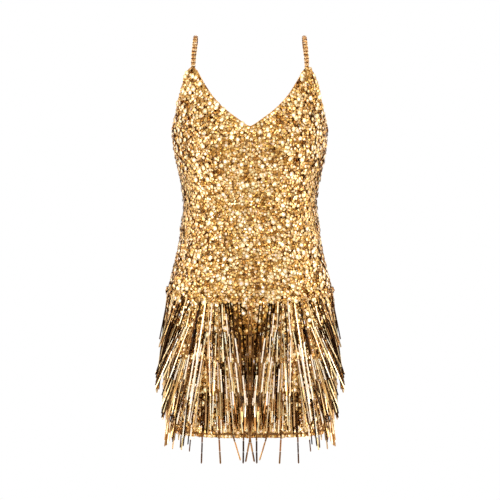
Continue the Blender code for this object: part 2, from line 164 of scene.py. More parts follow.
@dataclass(frozen=True)
class HollowPaintedShade:
    """Painted shade in the hollow between the legs; its edge is rows of drop and half the width."""

    edge: Rows = (
        (0.530, 0.026), (0.548, 0.038), (0.585, 0.036), (0.615, 0.026), (0.645, 0.011), (0.670, 0.001),
    )
    top: float = 0.552
    top_slope: float = 0.7
    top_fade: float = 0.012
    full_share: float = 0.7
    clear_share: float = 1.25
    clear_margin: float = 0.002

    def shade(self, x: Points, drop: Points) -> Points:
        """How far places at the front lie in the hollow's painted shade.

        Args:
            x: how far they lie from the centre line.
            drop: their drops.

        Returns:
            A share for each, from 0 outside to 1 well inside.
        """
        half = smooth_curve(self.edge, drop)[..., 0]
        top = self.top - self.top_slope * np.abs(x)
        below = soft_step(drop - top, 0.0, self.top_fade) * (drop < self.edge[-1][0])
        clear = half * self.clear_share + self.clear_margin
        return (1 - soft_step(np.abs(x), half * self.full_share, clear)) * below


HOLLOW_PAINTED_SHADE = HollowPaintedShade()


@dataclass(frozen=True)
class GarmentForm:
    """The worn form of the cloth, with its cups, its centre front hollow and its soft creases."""

    cup_proud: float = 0.016
    cup_x: float = 0.083
    cup_drop: float = 0.236
    cup_reach_across: float = 0.043
    cup_reach_up: float = 0.056
    cup_reach_down: float = 0.034
    hollow_depth: float = 0.008
    hollow_reach: float = 0.034
    hollow_drops: Stretch = (0.540, 0.680)
    mean_radius: float = 0.135
    probe: float = 0.002

    def plain(self, angle: Points, drop: Points) -> Points:
        """The smooth form without its creases.

        Args:
            angle: angles round the dress.
            drop: their drops.

        Returns:
            One point for each angle and drop.
        """
        angle, drop = np.broadcast_arrays(np.asarray(angle, float), np.asarray(drop, float))
        half_width, before, behind = np.moveaxis(smooth_curve(SECTIONS, drop), -1, 0)
        x, facing = half_width * np.sin(angle), np.cos(angle)
        reach = np.where(drop < self.cup_drop, self.cup_reach_up, self.cup_reach_down)
        cup = bell(drop - self.cup_drop, reach) * self.cup_proud
        cup = cup * sum(bell(x - side * self.cup_x, self.cup_reach_across) for side in (-1, 1))
        hollow = self.hollow_depth * soft_step(drop, *self.hollow_drops) * bell(x, self.hollow_reach)
        y = np.where(facing >= 0, -(before + cup - hollow) * facing, -behind * facing)
        return np.stack([x, y, height(drop)], axis=-1)

    def crease_depth(self, angle: Points, drop: Points) -> Points:
        """How far the creases push the cloth in.

        Args:
            angle: angles round the dress.
            drop: their drops.

        Returns:
            The depth at each place.
        """
        total = np.zeros(np.broadcast(angle, drop).shape)
        for middle, middle_drop, slant, length, width, depth in CREASES:
            around = np.angle(np.exp(1j * (angle - math.radians(middle)))) * self.mean_radius
            down, slant = drop - middle_drop, math.radians(slant)
            along = around * math.cos(slant) + down * math.sin(slant)
            aside = down * math.cos(slant) - around * math.sin(slant)
            total = total + depth * np.exp(-0.5 * ((along / length) ** 2 + (aside / width) ** 2))
        return total

    def _outward(self, surface: Callable[[Points, Points], Points], angle: Points, drop: Points) -> Points:
        """The outward direction of a surface.

        Args:
            surface: gives a point for an angle and a drop.
            angle: angles round the dress.
            drop: their drops.

        Returns:
            A direction for each place.
        """
        around = surface(angle + self.probe, drop) - surface(angle - self.probe, drop)
        down = surface(angle, drop + self.probe) - surface(angle, drop - self.probe)
        return unit(np.cross(down, around))

    def point(self, angle: Points, drop: Points, out: Points = 0.0) -> Points:
        """Places on the creased cloth, or a distance out from it.

        Args:
            angle: angles round the dress.
            drop: their drops.
            out: distance outward from the cloth's outer face.

        Returns:
            One point for each angle and drop.
        """
        angle, drop = np.asarray(angle, float), np.asarray(drop, float)
        push = np.asarray(out - self.crease_depth(angle, drop))
        return self.plain(angle, drop) + self._outward(self.plain, angle, drop) * push[..., None]

    def normal(self, angle: Points, drop: Points) -> Points:
        """The outward direction of the creased cloth."""
        return self._outward(self.point, angle, drop)

    def angle_at(self, x: Points, drop: Points) -> Points:
        """The angle at which the cloth reaches x, from the centre line."""
        return np.arcsin(np.clip(np.asarray(x) / smooth_curve(SECTIONS, drop)[..., 0], -1.0, 1.0))


@dataclass(frozen=True)
class PanelCut:
    """The top edge of a panel: an inner stretch, the flat peak under the strap, and an outer stretch."""

    side: Side
    inner: Rows
    outer: Rows
    form: GarmentForm

    def stretch(self, edge: Rows) -> Points:
        """One stretch's points as rows of angle and drop."""
        x, drop = np.array(edge).T
        return np.column_stack([self.form.angle_at(x, drop), drop])

    def top(self, angle: Points) -> Points:
        """Read the top edge.

        Args:
            angle: angles from the panel's own centre line.

        Returns:
            The edge's drop at each.
        """
        inner, outer = self.stretch(self.inner), self.stretch(self.outer)
        near, far = (smooth_curve(edge, np.abs(angle))[..., 0] for edge in (inner, outer))
        return np.where(np.abs(angle) < (inner[-1, 0] + outer[0, 0]) / 2, near, far)

    def columns(self, shares: tuple[int, int, int]) -> Points:
        """Angles of the panel's columns, seam to seam, with one on each corner of the peaks.

        Args:
            shares: how many steps the inner stretch, the peak and the outer stretch get.

        Returns:
            The angles from the panel's own centre line.
        """
        ends = (0.0, self.stretch(self.inner)[-1, 0], self.stretch(self.outer)[0, 0], QUARTER)
        half = [np.linspace(*pair, count, endpoint=False) for *pair, count in zip(ends, ends[1:], shares)]
        half = np.concatenate([*half, [QUARTER]])
        return np.concatenate([-half[:0:-1], half])

    def edge_path(self, start: float, end: float, steps: int, up: float, back: float) -> Points:
        """Places along the top edge, moved up off the cloth.

        Args:
            start: the first angle from the panel's centre line.
            end: the last angle.
            steps: how many places.
            up: distance off the cut edge, in line with the cloth.
            back: distance in from the cloth's outer face.

        Returns:
            The places, in order.
        """
        angle = np.linspace(start, end, steps)
        drop, turned = self.top(angle), angle + self.side.value
        place, normal = self.form.point(turned, drop), self.form.normal(turned, drop)
        lift = unit(np.cross(unit(np.gradient(place, axis=0)), normal))
        lift *= np.where(lift[:, 2:] < 0, -1.0, 1.0)
        return place + lift * up - normal * back


# ---------------------------------------------------------------- meshes


def add_object(name: str, data: bpy.types.ID) -> Piece:
    """Put new data in the scene.

    Args:
        name: the object's name.
        data: its mesh, curve, light or camera.

    Returns:
        The object.
    """
    item = bpy.data.objects.new(name, data)
    bpy.context.scene.collection.objects.link(item)
    return item


def add_primitive(operator: Callable[..., Any], **sizes: Any) -> Piece:
    """Deselect everything and add a primitive.

    Args:
        operator: the operator that adds it.
        sizes: what the operator is given.

    Returns:
        The new object.
    """
    bpy.ops.object.select_all(action="DESELECT")
    operator(**sizes)
    return bpy.context.object


def fill(items: Any, name: str, values: Points, kind: type = np.float32) -> None:
    """Give every item in a mesh's collection its value of this name."""
    items.foreach_set(name, np.asarray(values, kind).ravel())


@dataclass(frozen=True)
class SmallShape:
    """A small shape that is copied many times: its points, its faces as point numbers, and a tone a point."""

    points: Points
    faces: tuple[tuple[int, ...], ...]
    tones: Points

    @classmethod
    def taken_from(cls, item: Piece, rim_tone: float = 1.0, rim_from: float = 0.9) -> "SmallShape":
        """Read an object's mesh and remove both.

        Args:
            item: the object, of radius one.
            rim_tone: the share of the copy's shade that its rim has; below one it paints shade on the rim.
            rim_from: how far out the rim starts.

        Returns:
            The shape.
        """
        points = np.array([vertex.co[:] for vertex in item.data.vertices])
        faces = tuple(tuple(polygon.vertices) for polygon in item.data.polygons)
        bpy.data.meshes.remove(item.data)
        return cls(points, faces, np.where(np.hypot(points[:, 0], points[:, 1]) > rim_from, rim_tone, 1.0))

    @classmethod
    def cupped_disc(cls, corners: int, flat: float, cup: float, rim_tone: float) -> "SmallShape":
        """A thin round sequin of radius one: flat middle, rim turned up to +Z and painted darker as shade.

        Args:
            corners: how many corners it has.
            flat: the radius of its flat middle.
            cup: how far its rim turns up.
            rim_tone: the rim's share of the sequin's shade, darker to paint shade round the disc.

        Returns:
            The shape.
        """
        cone = bpy.ops.mesh.primitive_cone_add
        item = add_primitive(cone, vertices=corners, radius1=0.0, radius2=1.0, depth=2 * cup)
        bpy.ops.object.mode_set(mode="EDIT")
        bpy.ops.mesh.select_all(action="DESELECT")
        bpy.ops.object.mode_set(mode="OBJECT")
        for polygon in item.data.polygons:
            polygon.select = len(polygon.vertices) == corners
        bpy.ops.object.mode_set(mode="EDIT")
        bpy.ops.mesh.inset(thickness=1.0 - flat, depth=-cup)
        bpy.ops.object.mode_set(mode="OBJECT")
        return cls.taken_from(item, rim_tone)

    @classmethod
    def bead(cls, segments: int, rings: int) -> "SmallShape":
        """A round bead of radius one with its hole along Z."""
        sphere = bpy.ops.mesh.primitive_uv_sphere_add
        return cls.taken_from(add_primitive(sphere, segments=segments, ring_count=rings, radius=1.0))

    @classmethod
    def tube_bead(cls, sides: int = 6) -> "SmallShape":
        """A straight bead with flat sides, of radius one and length one, along Z."""
        cylinder = bpy.ops.mesh.primitive_cylinder_add
        return cls.taken_from(add_primitive(cylinder, vertices=sides, radius=1.0, depth=1.0))


@dataclass
class Swarm:
    """Copies of a small shape, gathered and then joined into one mesh."""

    name: str
    shape: SmallShape
    smooth: bool = False
    cells: int = 64
    patch_share: float = 0.3
    copies: list[tuple[Points, Points, Points]] = field(default_factory=list)

    def add(self, places: Points, frames: Points, shades: Points) -> None:
        """Add copies: their middles, matrices whose columns are their scaled axes, and their shades."""
        self.copies.append((places, frames, shades))

    def build(self) -> Piece:
        """Join the copies.

        Returns:
            The object, with a shade on each point and a map that has a patch for each shade.
        """
        places, frames, shades = (np.concatenate(part) for part in zip(*self.copies))
        cell = np.round(np.clip(shades, 0, 1) * (self.cells**2 - 1)).astype(int)
        number, points = np.arange(len(places))[:, None], self.shape.points
        sizes = np.array([len(face) for face in self.shape.faces])
        corners = np.concatenate([np.array(face) for face in self.shape.faces])
        starts = np.cumsum(sizes) - sizes + number * len(corners)
        mesh = bpy.data.meshes.new(self.name)
        mesh.vertices.add(len(places) * len(points))
        fill(mesh.vertices, "co", np.einsum("nij,kj->nki", frames, points) + places[:, None, :])
        mesh.loops.add(len(places) * len(corners))
        fill(mesh.loops, "vertex_index", corners + number * len(points), np.int32)
        mesh.polygons.add(starts.size)
        fill(mesh.polygons, "loop_start", starts, np.int32)
        fill(mesh.polygons, "loop_total", np.tile(sizes, len(places)), np.int32)
        fill(mesh.polygons, "use_smooth", np.full(starts.size, self.smooth), bool)
        mesh.update(calc_edges=True)
        tones = np.outer(cell / (self.cells**2 - 1), self.shape.tones)
        fill(mesh.attributes.new("shade", "FLOAT", "POINT").data, "value", tones)
        patch = np.stack([cell % self.cells, cell // self.cells], axis=-1)
        within = points[corners][:, :2] * self.patch_share + 0.5
        fill(mesh.uv_layers.new(name="OFBake").data, "uv", (patch[:, None, :] + within) / self.cells)
        return add_object(self.name, mesh)


def lofted_wall(name: str, outer: Points, inner: Points, ring: bool) -> Piece:
    """A closed wall between two grids of points, columns first.

    Args:
        name: the object's name.
        outer: the outer face's points, shaped columns by rows by 3, rows running down.
        inner: the inner face's points, of the same shape.
        ring: whether the last column joins the first.

    Returns:
        The object, smooth on its faces, with a map in metres along its columns and rows.
    """
    columns, rows = outer.shape[:2]
    vertices = np.concatenate([outer.reshape(-1, 3), inner.reshape(-1, 3)])
    number = np.arange(columns * rows).reshape(columns, rows)
    here = number if ring else number[:-1]
    there = np.roll(number, -1, axis=0) if ring else number[1:]
    skin = np.stack([here[:, :-1], here[:, 1:], there[:, 1:], there[:, :-1]], axis=-1).reshape(-1, 4)
    faces = [skin, skin[:, ::-1] + columns * rows]
    rims = [(here[:, 0], there[:, 0]), (there[:, -1], here[:, -1])]
    if not ring:
        rims += [(number[0, 1:], number[0, :-1]), (number[-1, :-1], number[-1, 1:])]
    for start, end in rims:
        faces.append(np.stack([start, end, end + columns * rows, start + columns * rows], axis=-1))
    faces = np.concatenate(faces)
    mesh = bpy.data.meshes.new(name)
    mesh.from_pydata(vertices.tolist(), [], faces.tolist())
    fill(mesh.polygons, "use_smooth", np.full(len(faces), True), bool)
    flat = np.stack([np.repeat(run_along(outer[:, -1]), rows), outer[..., 2].ravel()], axis=-1)
    fill(mesh.uv_layers.new(name="metres").data, "uv", np.concatenate([flat, flat + 1.0])[faces.ravel()])
    mesh.update()
    return add_object(name, mesh)


def tube(name: str, path: Points, radius: float, sides: int = 6) -> Piece:
    """A round tube along a path, with closed ends.

    Args:
        name: the object's name.
        path: the points of its centre line.
        radius: its radius.
        sides: how many flat sides it has.

    Returns:
        The object.
    """
    curve = bpy.data.curves.new(name, "CURVE")
    curve.dimensions = "3D"
    curve.bevel_depth = radius
    curve.bevel_resolution = (sides - 4) // 2
    curve.use_fill_caps = True
    spline = curve.splines.new("POLY")
    spline.points.add(len(path) - 1)
    fill(spline.points, "co", np.hstack([path, np.ones((len(path), 1))]))
    item = add_object(name, curve)
    bpy.ops.object.select_all(action="DESELECT")
    item.select_set(True)
    bpy.context.view_layer.objects.active = item
    bpy.ops.object.convert(target="MESH")
    bpy.ops.object.mode_set(mode="EDIT")
    bpy.ops.mesh.select_all(action="SELECT")
    bpy.ops.mesh.remove_doubles(threshold=radius * 0.01)
    bpy.ops.object.mode_set(mode="OBJECT")
    return bpy.context.object


def turned_frames(axis: Points, turn: Points, size: Points) -> Points:
    """Frames whose third axis is given, turned about it and scaled.

    Args:
        axis: the third axis of each frame, at length one.
        turn: the turn of each frame about it.
        size: the three sizes of each frame.

    Returns:
        Matrices with the scaled axes as columns.
    """
    helper = np.where(np.abs(axis[:, 2:]) < NEARLY_UPRIGHT, [[0.0, 0.0, 1.0]], [[1.0, 0.0, 0.0]])
    first = unit(np.cross(helper, axis))
    second = np.cross(axis, first)
    cos, sin = np.cos(turn)[:, None], np.sin(turn)[:, None]
    x, y = first * cos + second * sin, second * cos - first * sin
    return np.stack([x * size[:, :1], y * size[:, 1:2], axis * size[:, 2:]], axis=-1)


# ---------------------------------------------------------------- finishes


class Value:
    """A socket of a node; arithmetic on it adds the Math nodes."""

    def __init__(self, board: "Board", socket: bpy.types.NodeSocket | None) -> None:
        """Hold the socket and the board that its nodes go on."""
        self.board = board
        self.socket = socket

    def _with(self, operation: str, first: Any, second: Any = 0.0) -> "Value":
        """Add one Math node."""
        return self.board.node("Math", {0: first, 1: second}, operation=operation)

    def __add__(self, other: Any) -> "Value":
        """Add."""
        return self._with("ADD", self, other)

    def __sub__(self, other: Any) -> "Value":
        """Take away."""
        return self._with("SUBTRACT", self, other)

    def __rsub__(self, other: Any) -> "Value":
        """Take this value away from a number."""
        return self._with("SUBTRACT", other, self)

    def __mul__(self, other: Any) -> "Value":
        """Multiply."""
        return self._with("MULTIPLY", self, other)

    __radd__ = __add__
    __rmul__ = __mul__

    def part(self) -> "Value":
        """What is left after the whole number is taken away."""
        return self._with("FRACT", self)

    def wave(self) -> "Value":
        """The sine of the value."""
        return self._with("SINE", self)


class Board:
    """The node tree of one material or world, with one way to add a node to it."""

    def __init__(self, tree: bpy.types.NodeTree) -> None:
        """Clear the tree."""
        self.tree = tree
        tree.nodes.clear()

    def node(self, kind: str, inputs: dict[Any, Any], output: Any = 0, **settings: Any) -> Value:
        """Add a node.

        Args:
            kind: the node's type, without ShaderNode before it.
            inputs: a value or a link for each socket that is named or numbered.
            output: the socket that is handed back.
            settings: its settings, set first; stops is a ramp's rows of place and colour or grey.

        Returns:
            The node's output, empty where it has none.
        """
        node = self.tree.nodes.new(f"ShaderNode{kind}")
        stops = settings.pop("stops", ())
        for name, setting in settings.items():
            setattr(node, name, setting)
        for _ in stops[2:]:
            node.color_ramp.elements.new(1.0)
        for number, (place, colour) in enumerate(stops):
            element = node.color_ramp.elements[number]
            element.position = place
            element.color = (*(np.ones(3) * colour), 1.0)
        for name, value in inputs.items():
            if isinstance(value, Value):
                self.tree.links.new(value.socket, node.inputs[name])
            else:
                node.inputs[name].default_value = value
        return Value(self, node.outputs[output] if node.outputs else None)

    def end(self, kind: str, shader: Value) -> None:
        """Add the output node of this kind and link the shader to its surface."""
        self.node(f"Output{kind}", {"Surface": shader})

    def axis(self, vector: Value, name: str) -> Value:
        """The X, Y or Z of a vector."""
        return self.node("SeparateXYZ", {"Vector": vector}, name)

    def noise(self, vector: Value, scale: float, detail: float) -> Value:
        """Soft uneven patches."""
        return self.node("TexNoise", {"Vector": vector, "Scale": scale, "Detail": detail})

    def ramp(self, stops: Ramp, factor: Value) -> Value:
        """The colour of a ramp at a factor."""
        return self.node("ValToRGB", {"Fac": factor}, "Color", stops=stops)

    def mix(self, factor: Any, first: Any, second: Any, blend: str = "MIX") -> Value:
        """One colour mixed with another."""
        inputs = {"Factor": factor, "A": first, "B": second}
        return self.node("Mix", inputs, "Result", data_type="RGBA", blend_type=blend)

    def remap(self, value: Value, taken: Stretch, given: Stretch, curve: str = "LINEAR") -> Value:
        """Turn a stretch of a value into a stretch of another."""
        ends = {"From Min": taken[0], "From Max": taken[1], "To Min": given[0], "To Max": given[1]}
        return self.node("MapRange", {"Value": value, **ends}, interpolation_type=curve)


@dataclass(frozen=True)
class Finish:
    """A material by its name; each kind of finish paints its own nodes."""

    name: str

    def paint(self, board: Board) -> Value:
        """Add the nodes and hand back the shader."""
        raise NotImplementedError

    def material(self) -> bpy.types.Material:
        """Make the material.

        Returns:
            The material, ready for a slot.
        """
        found = bpy.data.materials.new(self.name)
        found.use_nodes = True
        board = Board(found.node_tree)
        board.end("Material", self.paint(board))
        return found


@dataclass(frozen=True)
class ShadedMetal(Finish):
    """Shiny metal-coated pieces, each with its own shade and its own polish; the palest are pearly."""

    ramp: Ramp
    tints: Ramp
    rough: Stretch
    coat: float
    pearl: float
    tint_bands: float = 23.0
    rough_bands: float = 37.0
    pearl_shades: Stretch = (0.78, 0.92)
    coat_shades: Stretch = (0.05, 0.35)
    coat_rough: float = 0.08

    def paint(self, board: Board) -> Value:
        """A metal that takes its colour, polish and coat from its shade.

        Args:
            board: the material's nodes.

        Returns:
            The shader.
        """
        shade = board.node("Attribute", {}, "Fac", attribute_name="shade")
        tint = board.ramp(self.tints, (shade * self.tint_bands).part())
        low, high = self.rough
        skin = {
            "Base Color": board.mix(1.0, board.ramp(self.ramp, shade), tint, "MULTIPLY"),
            "Metallic": board.remap(shade, self.pearl_shades, (1.0, 1.0 - self.pearl)),
            "Roughness": (shade * self.rough_bands).part() * (high - low) + low,
            "Coat Weight": board.remap(shade, self.coat_shades, (0.0, self.coat)),
            "Coat Roughness": self.coat_rough,
        }
        return board.node("BsdfPrincipled", skin)


@dataclass(frozen=True)
class MeshCloth(Finish):
    """The stretch net that the sequins are sewn to."""

    light: Colour
    dark: Colour
    threads_per_metre: float = 1400.0
    blotches_per_metre: float = 60.0
    weave_share: float = 0.6
    blotch_share: float = 0.5
    rough: Stretch = (0.6, 0.2)
    bump_strength: float = 0.5
    thread_height: float = 0.0003

    def paint(self, board: Board) -> Value:
        """A fine woven grid with a soft blotchy change of colour.

        Args:
            board: the material's nodes.

        Returns:
            The shader.
        """
        place = board.node("UVMap", {}, "UV", uv_map="metres")
        turn = self.threads_per_metre * 2 * math.pi
        warp, weft = ((board.axis(place, name) * turn).wave() * 0.5 + 0.5 for name in ("X", "Y"))
        weave = warp * weft
        blotch = board.noise(place, self.blotches_per_metre, 3.0)
        mask = weave * self.weave_share + blotch * self.blotch_share
        bump = {"Strength": self.bump_strength, "Distance": self.thread_height, "Height": weave}
        skin = {
            "Base Color": board.mix(mask, (*self.dark, 1.0), (*self.light, 1.0)),
            "Roughness": mask * self.rough[1] + self.rough[0],
            "Normal": board.node("Bump", bump, "Normal"),
        }
        return board.node("BsdfPrincipled", skin)


@dataclass(frozen=True)
class PaleFloor(Finish):
    """A pale floor that fades out between two distances from its middle."""

    fade: Stretch
    light: Colour = (0.91, 0.91, 0.905)
    dark: Colour = (0.86, 0.86, 0.855)
    grain_scale: float = 14.0
    rough: float = 0.6

    def paint(self, board: Board) -> Value:
        """A faint grain, clear towards the rim.

        Args:
            board: the material's nodes.

        Returns:
            The shader.
        """
        place = board.node("TexCoord", {}, "Object")
        flat = board.node("VectorMath", {0: place, 1: (1.0, 1.0, 0.0)}, operation="MULTIPLY")
        far = board.node("VectorMath", {0: flat}, "Value", operation="LENGTH")
        grain = board.noise(place, self.grain_scale, 4.0)
        colour = board.mix(grain, (*self.dark, 1.0), (*self.light, 1.0))
        solid = board.node("BsdfPrincipled", {"Base Color": colour, "Roughness": self.rough})
        rim = board.remap(far, self.fade, (0.0, 1.0), "SMOOTHSTEP")
        return board.node("MixShader", {0: rim, 1: solid, 2: board.node("BsdfTransparent", {})})


SEQUIN_TINTS: Ramp = (
    (0.00, (1.00, 0.80, 0.78)), (0.25, (1.00, 0.98, 1.18)), (0.50, (1.00, 1.00, 0.90)),
    (0.75, (0.98, 1.10, 0.82)), (1.00, (1.00, 0.88, 0.62)),
)
STRAND_TINTS: Ramp = (
    (0.00, (1.00, 0.86, 0.72)), (0.40, (1.00, 1.00, 1.00)), (0.75, (1.00, 1.07, 1.00)),
    (1.00, (1.00, 1.00, 1.20)),
)
GOLD_SEQUINS = ShadedMetal(
    name="gold_sequins",
    tints=SEQUIN_TINTS,
    ramp=(
        (0.00, (0.045, 0.016, 0.005)), (0.10, (0.220, 0.080, 0.012)), (0.30, (0.545, 0.280, 0.066)),
        (0.55, (0.745, 0.510, 0.245)), (0.80, (0.900, 0.710, 0.460)), (1.00, (1.000, 0.920, 0.830)),
    ),
    rough=(0.08, 0.24),
    coat=0.25,
    pearl=0.55,
)
GOLD_TUBE_BEADS = ShadedMetal(
    name="gold_tube_beads",
    tints=STRAND_TINTS,
    ramp=(
        (0.00, (0.010, 0.003, 0.001)), (0.12, (0.060, 0.022, 0.005)), (0.28, (0.310, 0.135, 0.036)),
        (0.48, (0.620, 0.375, 0.140)), (0.72, (0.880, 0.680, 0.380)), (1.00, (1.000, 0.950, 0.860)),
    ),
    rough=(0.08, 0.22),
    coat=0.25,
    pearl=0.70,
)
GOLD_SEED_BEADS = ShadedMetal(
    name="gold_seed_beads",
    tints=STRAND_TINTS,
    ramp=(
        (0.00, (0.080, 0.030, 0.010)), (0.35, (0.480, 0.220, 0.055)), (0.70, (0.820, 0.490, 0.170)),
        (1.00, (1.000, 0.860, 0.620)),
    ),
    rough=(0.14, 0.28),
    coat=0.2,
    pearl=0.5,
)
NET = MeshCloth(name="gold_net", light=(0.46, 0.21, 0.05), dark=(0.16, 0.06, 0.015))


# ---------------------------------------------------------------- the dress


@dataclass
class Wardrobe:
    """Keeps the finishes and puts finished pieces on the frame's one body."""

    body: str = "root"

    def __post_init__(self) -> None:
        """Make the materials once."""
        finishes = (GOLD_SEQUINS, GOLD_TUBE_BEADS, GOLD_SEED_BEADS, NET)
        self._materials: dict[Finish, bpy.types.Material] = {finish: finish.material() for finish in finishes}

    def dress(self, piece: Piece, finish: Finish, slot: str, *nodes: str) -> Piece:
        """Finish a piece and ride it on the body.

        Args:
            piece: the new object.
            finish: what it is made of.
            slot: the record's material slot; not used.
            nodes: the frame's nodes that it stands for.

        Returns:
            The piece.
        """
        piece.data.materials.clear()
        piece.data.materials.append(self._materials[finish])
        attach(piece, self.body)
        if nodes:
            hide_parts(*nodes)
        LOG.info("%s: %d faces", piece.name, len(piece.data.polygons))
        return piece


# Kinds of sequin: share of them all, shade and its spread, least and most radius, least and most height off
# the cloth, and tilt in degrees. They are small golden ones, pale ones, and a few large pearly ones.
SEQUIN_KINDS: Rows = (
    (0.78, 0.48, 0.18, 0.0028, 0.0041, 0.0008, 0.0016, 18.0),
    (0.18, 0.88, 0.08, 0.0030, 0.0042, 0.0018, 0.0024, 11.0),
    (0.04, 0.98, 0.01, 0.0050, 0.0058, 0.0030, 0.0034, 5.0),
)


@dataclass
class Panel:
    """One panel: its net cloth and the sequins that cover it.

    Corners, flat, cup and rim tone shape a sequin, and strays are shares of a pitch. The rim tone is painted
    shade that darkens each sequin's rim. Sequins are calm at the sides of the waist: they lie more evenly
    there and nearer to one shade. The cover is the sequins over the top tape of the fringe.
    """

    name: str
    cut: PanelCut
    seed: int
    wall: float = 0.0010
    sunk: float = 0.0004
    seam_gap: float = 0.0004
    shares: tuple[int, int, int] = (28, 3, 26)
    rows: int = 80
    corners: int = 7
    flat: float = 0.60
    cup: float = 0.10
    rim_tone: float = 0.45
    pitch: float = 0.0050
    stray: float = 0.38
    most_tilt: float = 40.0
    bare_edge: float = 0.0026
    hem_edge: float = 0.0008
    inner_edge: float = 0.0048
    border_pitch: float = 0.0036
    border_stray: float = 0.15
    split_drop: float = 0.44
    darkest: float = 0.12
    calm_drops: tuple[float, ...] = (0.25, 0.29, 0.36, 0.44)
    calm_sides: Stretch = (0.70, 0.88)
    calm_shade: float = 0.62
    calm_pull: float = 0.7
    calm_lean: float = 0.75
    # Painted shade for the hollow between the legs: the share of sequins darkened, and by how much.
    hollow_share: float = 0.72
    hollow_painted_shade: float = 0.70
    cover_count: int = 230
    cover_proud: Stretch = (0.0046, 0.0056)
    cover_reach: tuple[float, ...] = (-0.002, 0.001, 0.011)

    def cloth(self) -> Piece:
        """The net, as a thin wall on the panel's own form.

        Returns:
            The object.
        """
        angle = self.cut.columns(self.shares)
        top = self.cut.top(angle)[:, None]
        drop = top + (HEM_DROP - top) * np.linspace(0, 1, self.rows)[None, :]
        turned = np.repeat(angle[:, None] + self.cut.side.value, self.rows, axis=1)
        faces = [self.cut.form.point(turned, drop, -self.sunk - inward) for inward in (0.0, self.wall)]
        for points in faces:
            points[[0, -1], :, 1] = self.seam_gap / 2 * (-1 if self.cut.side is Side.FRONT else 1)
        return lofted_wall(f"{self.name}_net", *faces, ring=False)

    def row(self, level: Points, pitch: float, start: float, stray: float, rng: Random) -> Pair:
        """Places along a row.

        Args:
            level: the row's drop at each of the panel's angles.
            pitch: the step from place to place.
            start: where the first place lies, as a share of the pitch.
            stray: how far a place may stray.
            rng: the source of the unevenness.

        Returns:
            The angles and the drops.
        """
        run = run_along(self.cut.form.plain(PANEL_ANGLES + self.cut.side.value, level))
        count = int(run[-1] / pitch)
        at = (np.arange(count) + start + rng.uniform(-stray, stray, count)) * pitch
        return np.interp(at, run, PANEL_ANGLES), np.interp(at, run, level)

    def scatter(self, rng: Random) -> Pair:
        """Uneven rows all over the panel, then an even row along the top edge and one along the hem.

        Args:
            rng: the source of the unevenness.

        Returns:
            The angles and the drops.
        """
        top, last = self.cut.top(PANEL_ANGLES), HEM_DROP - self.inner_edge
        found = []
        for k, level in enumerate(np.arange(top.min(), last, self.pitch)):
            level = np.full_like(top, level)
            angle, drop = self.row(level, self.pitch, 0.5 * (k % 2) + 0.25, self.stray, rng)
            drop = drop + rng.uniform(-self.stray, self.stray, len(drop)) * self.pitch
            keep = (drop > self.cut.top(angle) + self.inner_edge) & (drop < last)
            found.append((angle[keep], drop[keep]))
        for level in (top + self.bare_edge, np.full_like(top, HEM_DROP - self.hem_edge)):
            found.append(self.row(level, self.border_pitch, 0.5, self.border_stray, rng))
        return tuple(np.concatenate(column) for column in zip(*found))

    def cover(self, rng: Random) -> Pair:
        """Places over the top tape of the fringe, thinning downwards, that hide where its strands start."""
        angle = rng.uniform(-QUARTER, QUARTER, self.cover_count)
        return angle, TIERS[0].tape_drop(angle) + rng.triangular(*self.cover_reach, self.cover_count)

    def calm(self, angle: Points, drop: Points) -> Points:
        """How evenly the sequins lie at the sides of the waist, from 0 to 1."""
        at_waist = soft_step(drop, *self.calm_drops[:2]) * (1 - soft_step(drop, *self.calm_drops[2:]))
        return at_waist * soft_step(np.abs(np.sin(angle)), *self.calm_sides)

    def shades(self, angle: Points, drop: Points, shade: Points, rng: Random) -> Points:
        """Settle the sequins' shades by where they lie.

        Args:
            angle: their angles from the panel's centre line.
            drop: their drops.
            shade: what each has by its kind.
            rng: the source of the unevenness.

        Returns:
            The shades, nearer to one shade where calm, with painted shade in the hollow at the centre front.
        """
        shade = np.clip(shade, self.darkest, 1.0)
        shade = shade + (self.calm_shade - shade) * self.calm_pull * self.calm(angle, drop)
        # Painted shade: sequins in the hollow between the legs are darkened to stand for its shadow.
        if self.cut.side is Side.FRONT:
            dim = HOLLOW_PAINTED_SHADE.shade(self.cut.form.plain(angle, drop)[:, 0], drop)
            shade = shade * (1 - self.hollow_painted_shade * dim * (rng.random(len(angle)) < self.hollow_share))
        return shade

    def sequins(self) -> list[Piece]:
        """The sequins, above and below the waist.

        Returns:
            The objects.
        """
        rng = np.random.default_rng(self.seed)
        angle, drop = (np.concatenate(both) for both in zip(self.scatter(rng), self.cover(rng)))
        count, turned, table = len(angle), angle + self.cut.side.value, np.array(SEQUIN_KINDS)
        over_tape = np.arange(count) >= count - self.cover_count
        kind = rng.choice(len(table), count, p=table[:, 0])
        middle, spread, small, large, low, high, tilt = table[kind, 1:].T
        low, high = (np.where(over_tape, *both) for both in zip(self.cover_proud, (low, high)))
        place = self.cut.form.point(turned, drop, rng.uniform(low, high))
        normal = self.cut.form.normal(turned, drop)
        lean = np.radians(np.minimum(np.abs(rng.normal(0, tilt)), self.most_tilt))
        lean = lean * (1 - self.calm_lean * self.calm(angle, drop))
        way = turned_frames(normal, rng.uniform(0, 2 * math.pi, count), np.ones((count, 3)))[..., 0]
        axis = unit(normal * np.cos(lean)[:, None] + way * np.sin(lean)[:, None])
        size = np.repeat(rng.uniform(small, large)[:, None], 3, axis=1)
        frames = turned_frames(axis, rng.uniform(0, 2 * math.pi, count), size)
        shade = self.shades(angle, drop, rng.normal(middle, spread), rng)
        pieces = []
        for label, chosen in (("upper", drop < self.split_drop), ("lower", drop >= self.split_drop)):
            # Each sequin's rim is painted darker as shade round the disc.
            disc = SmallShape.cupped_disc(self.corners, self.flat, self.cup, self.rim_tone)
            swarm = Swarm(f"{self.name}_sequins_{label}", disc)
            swarm.add(place[chosen], frames[chosen], shade[chosen])
            pieces.append(swarm.build())
        return pieces

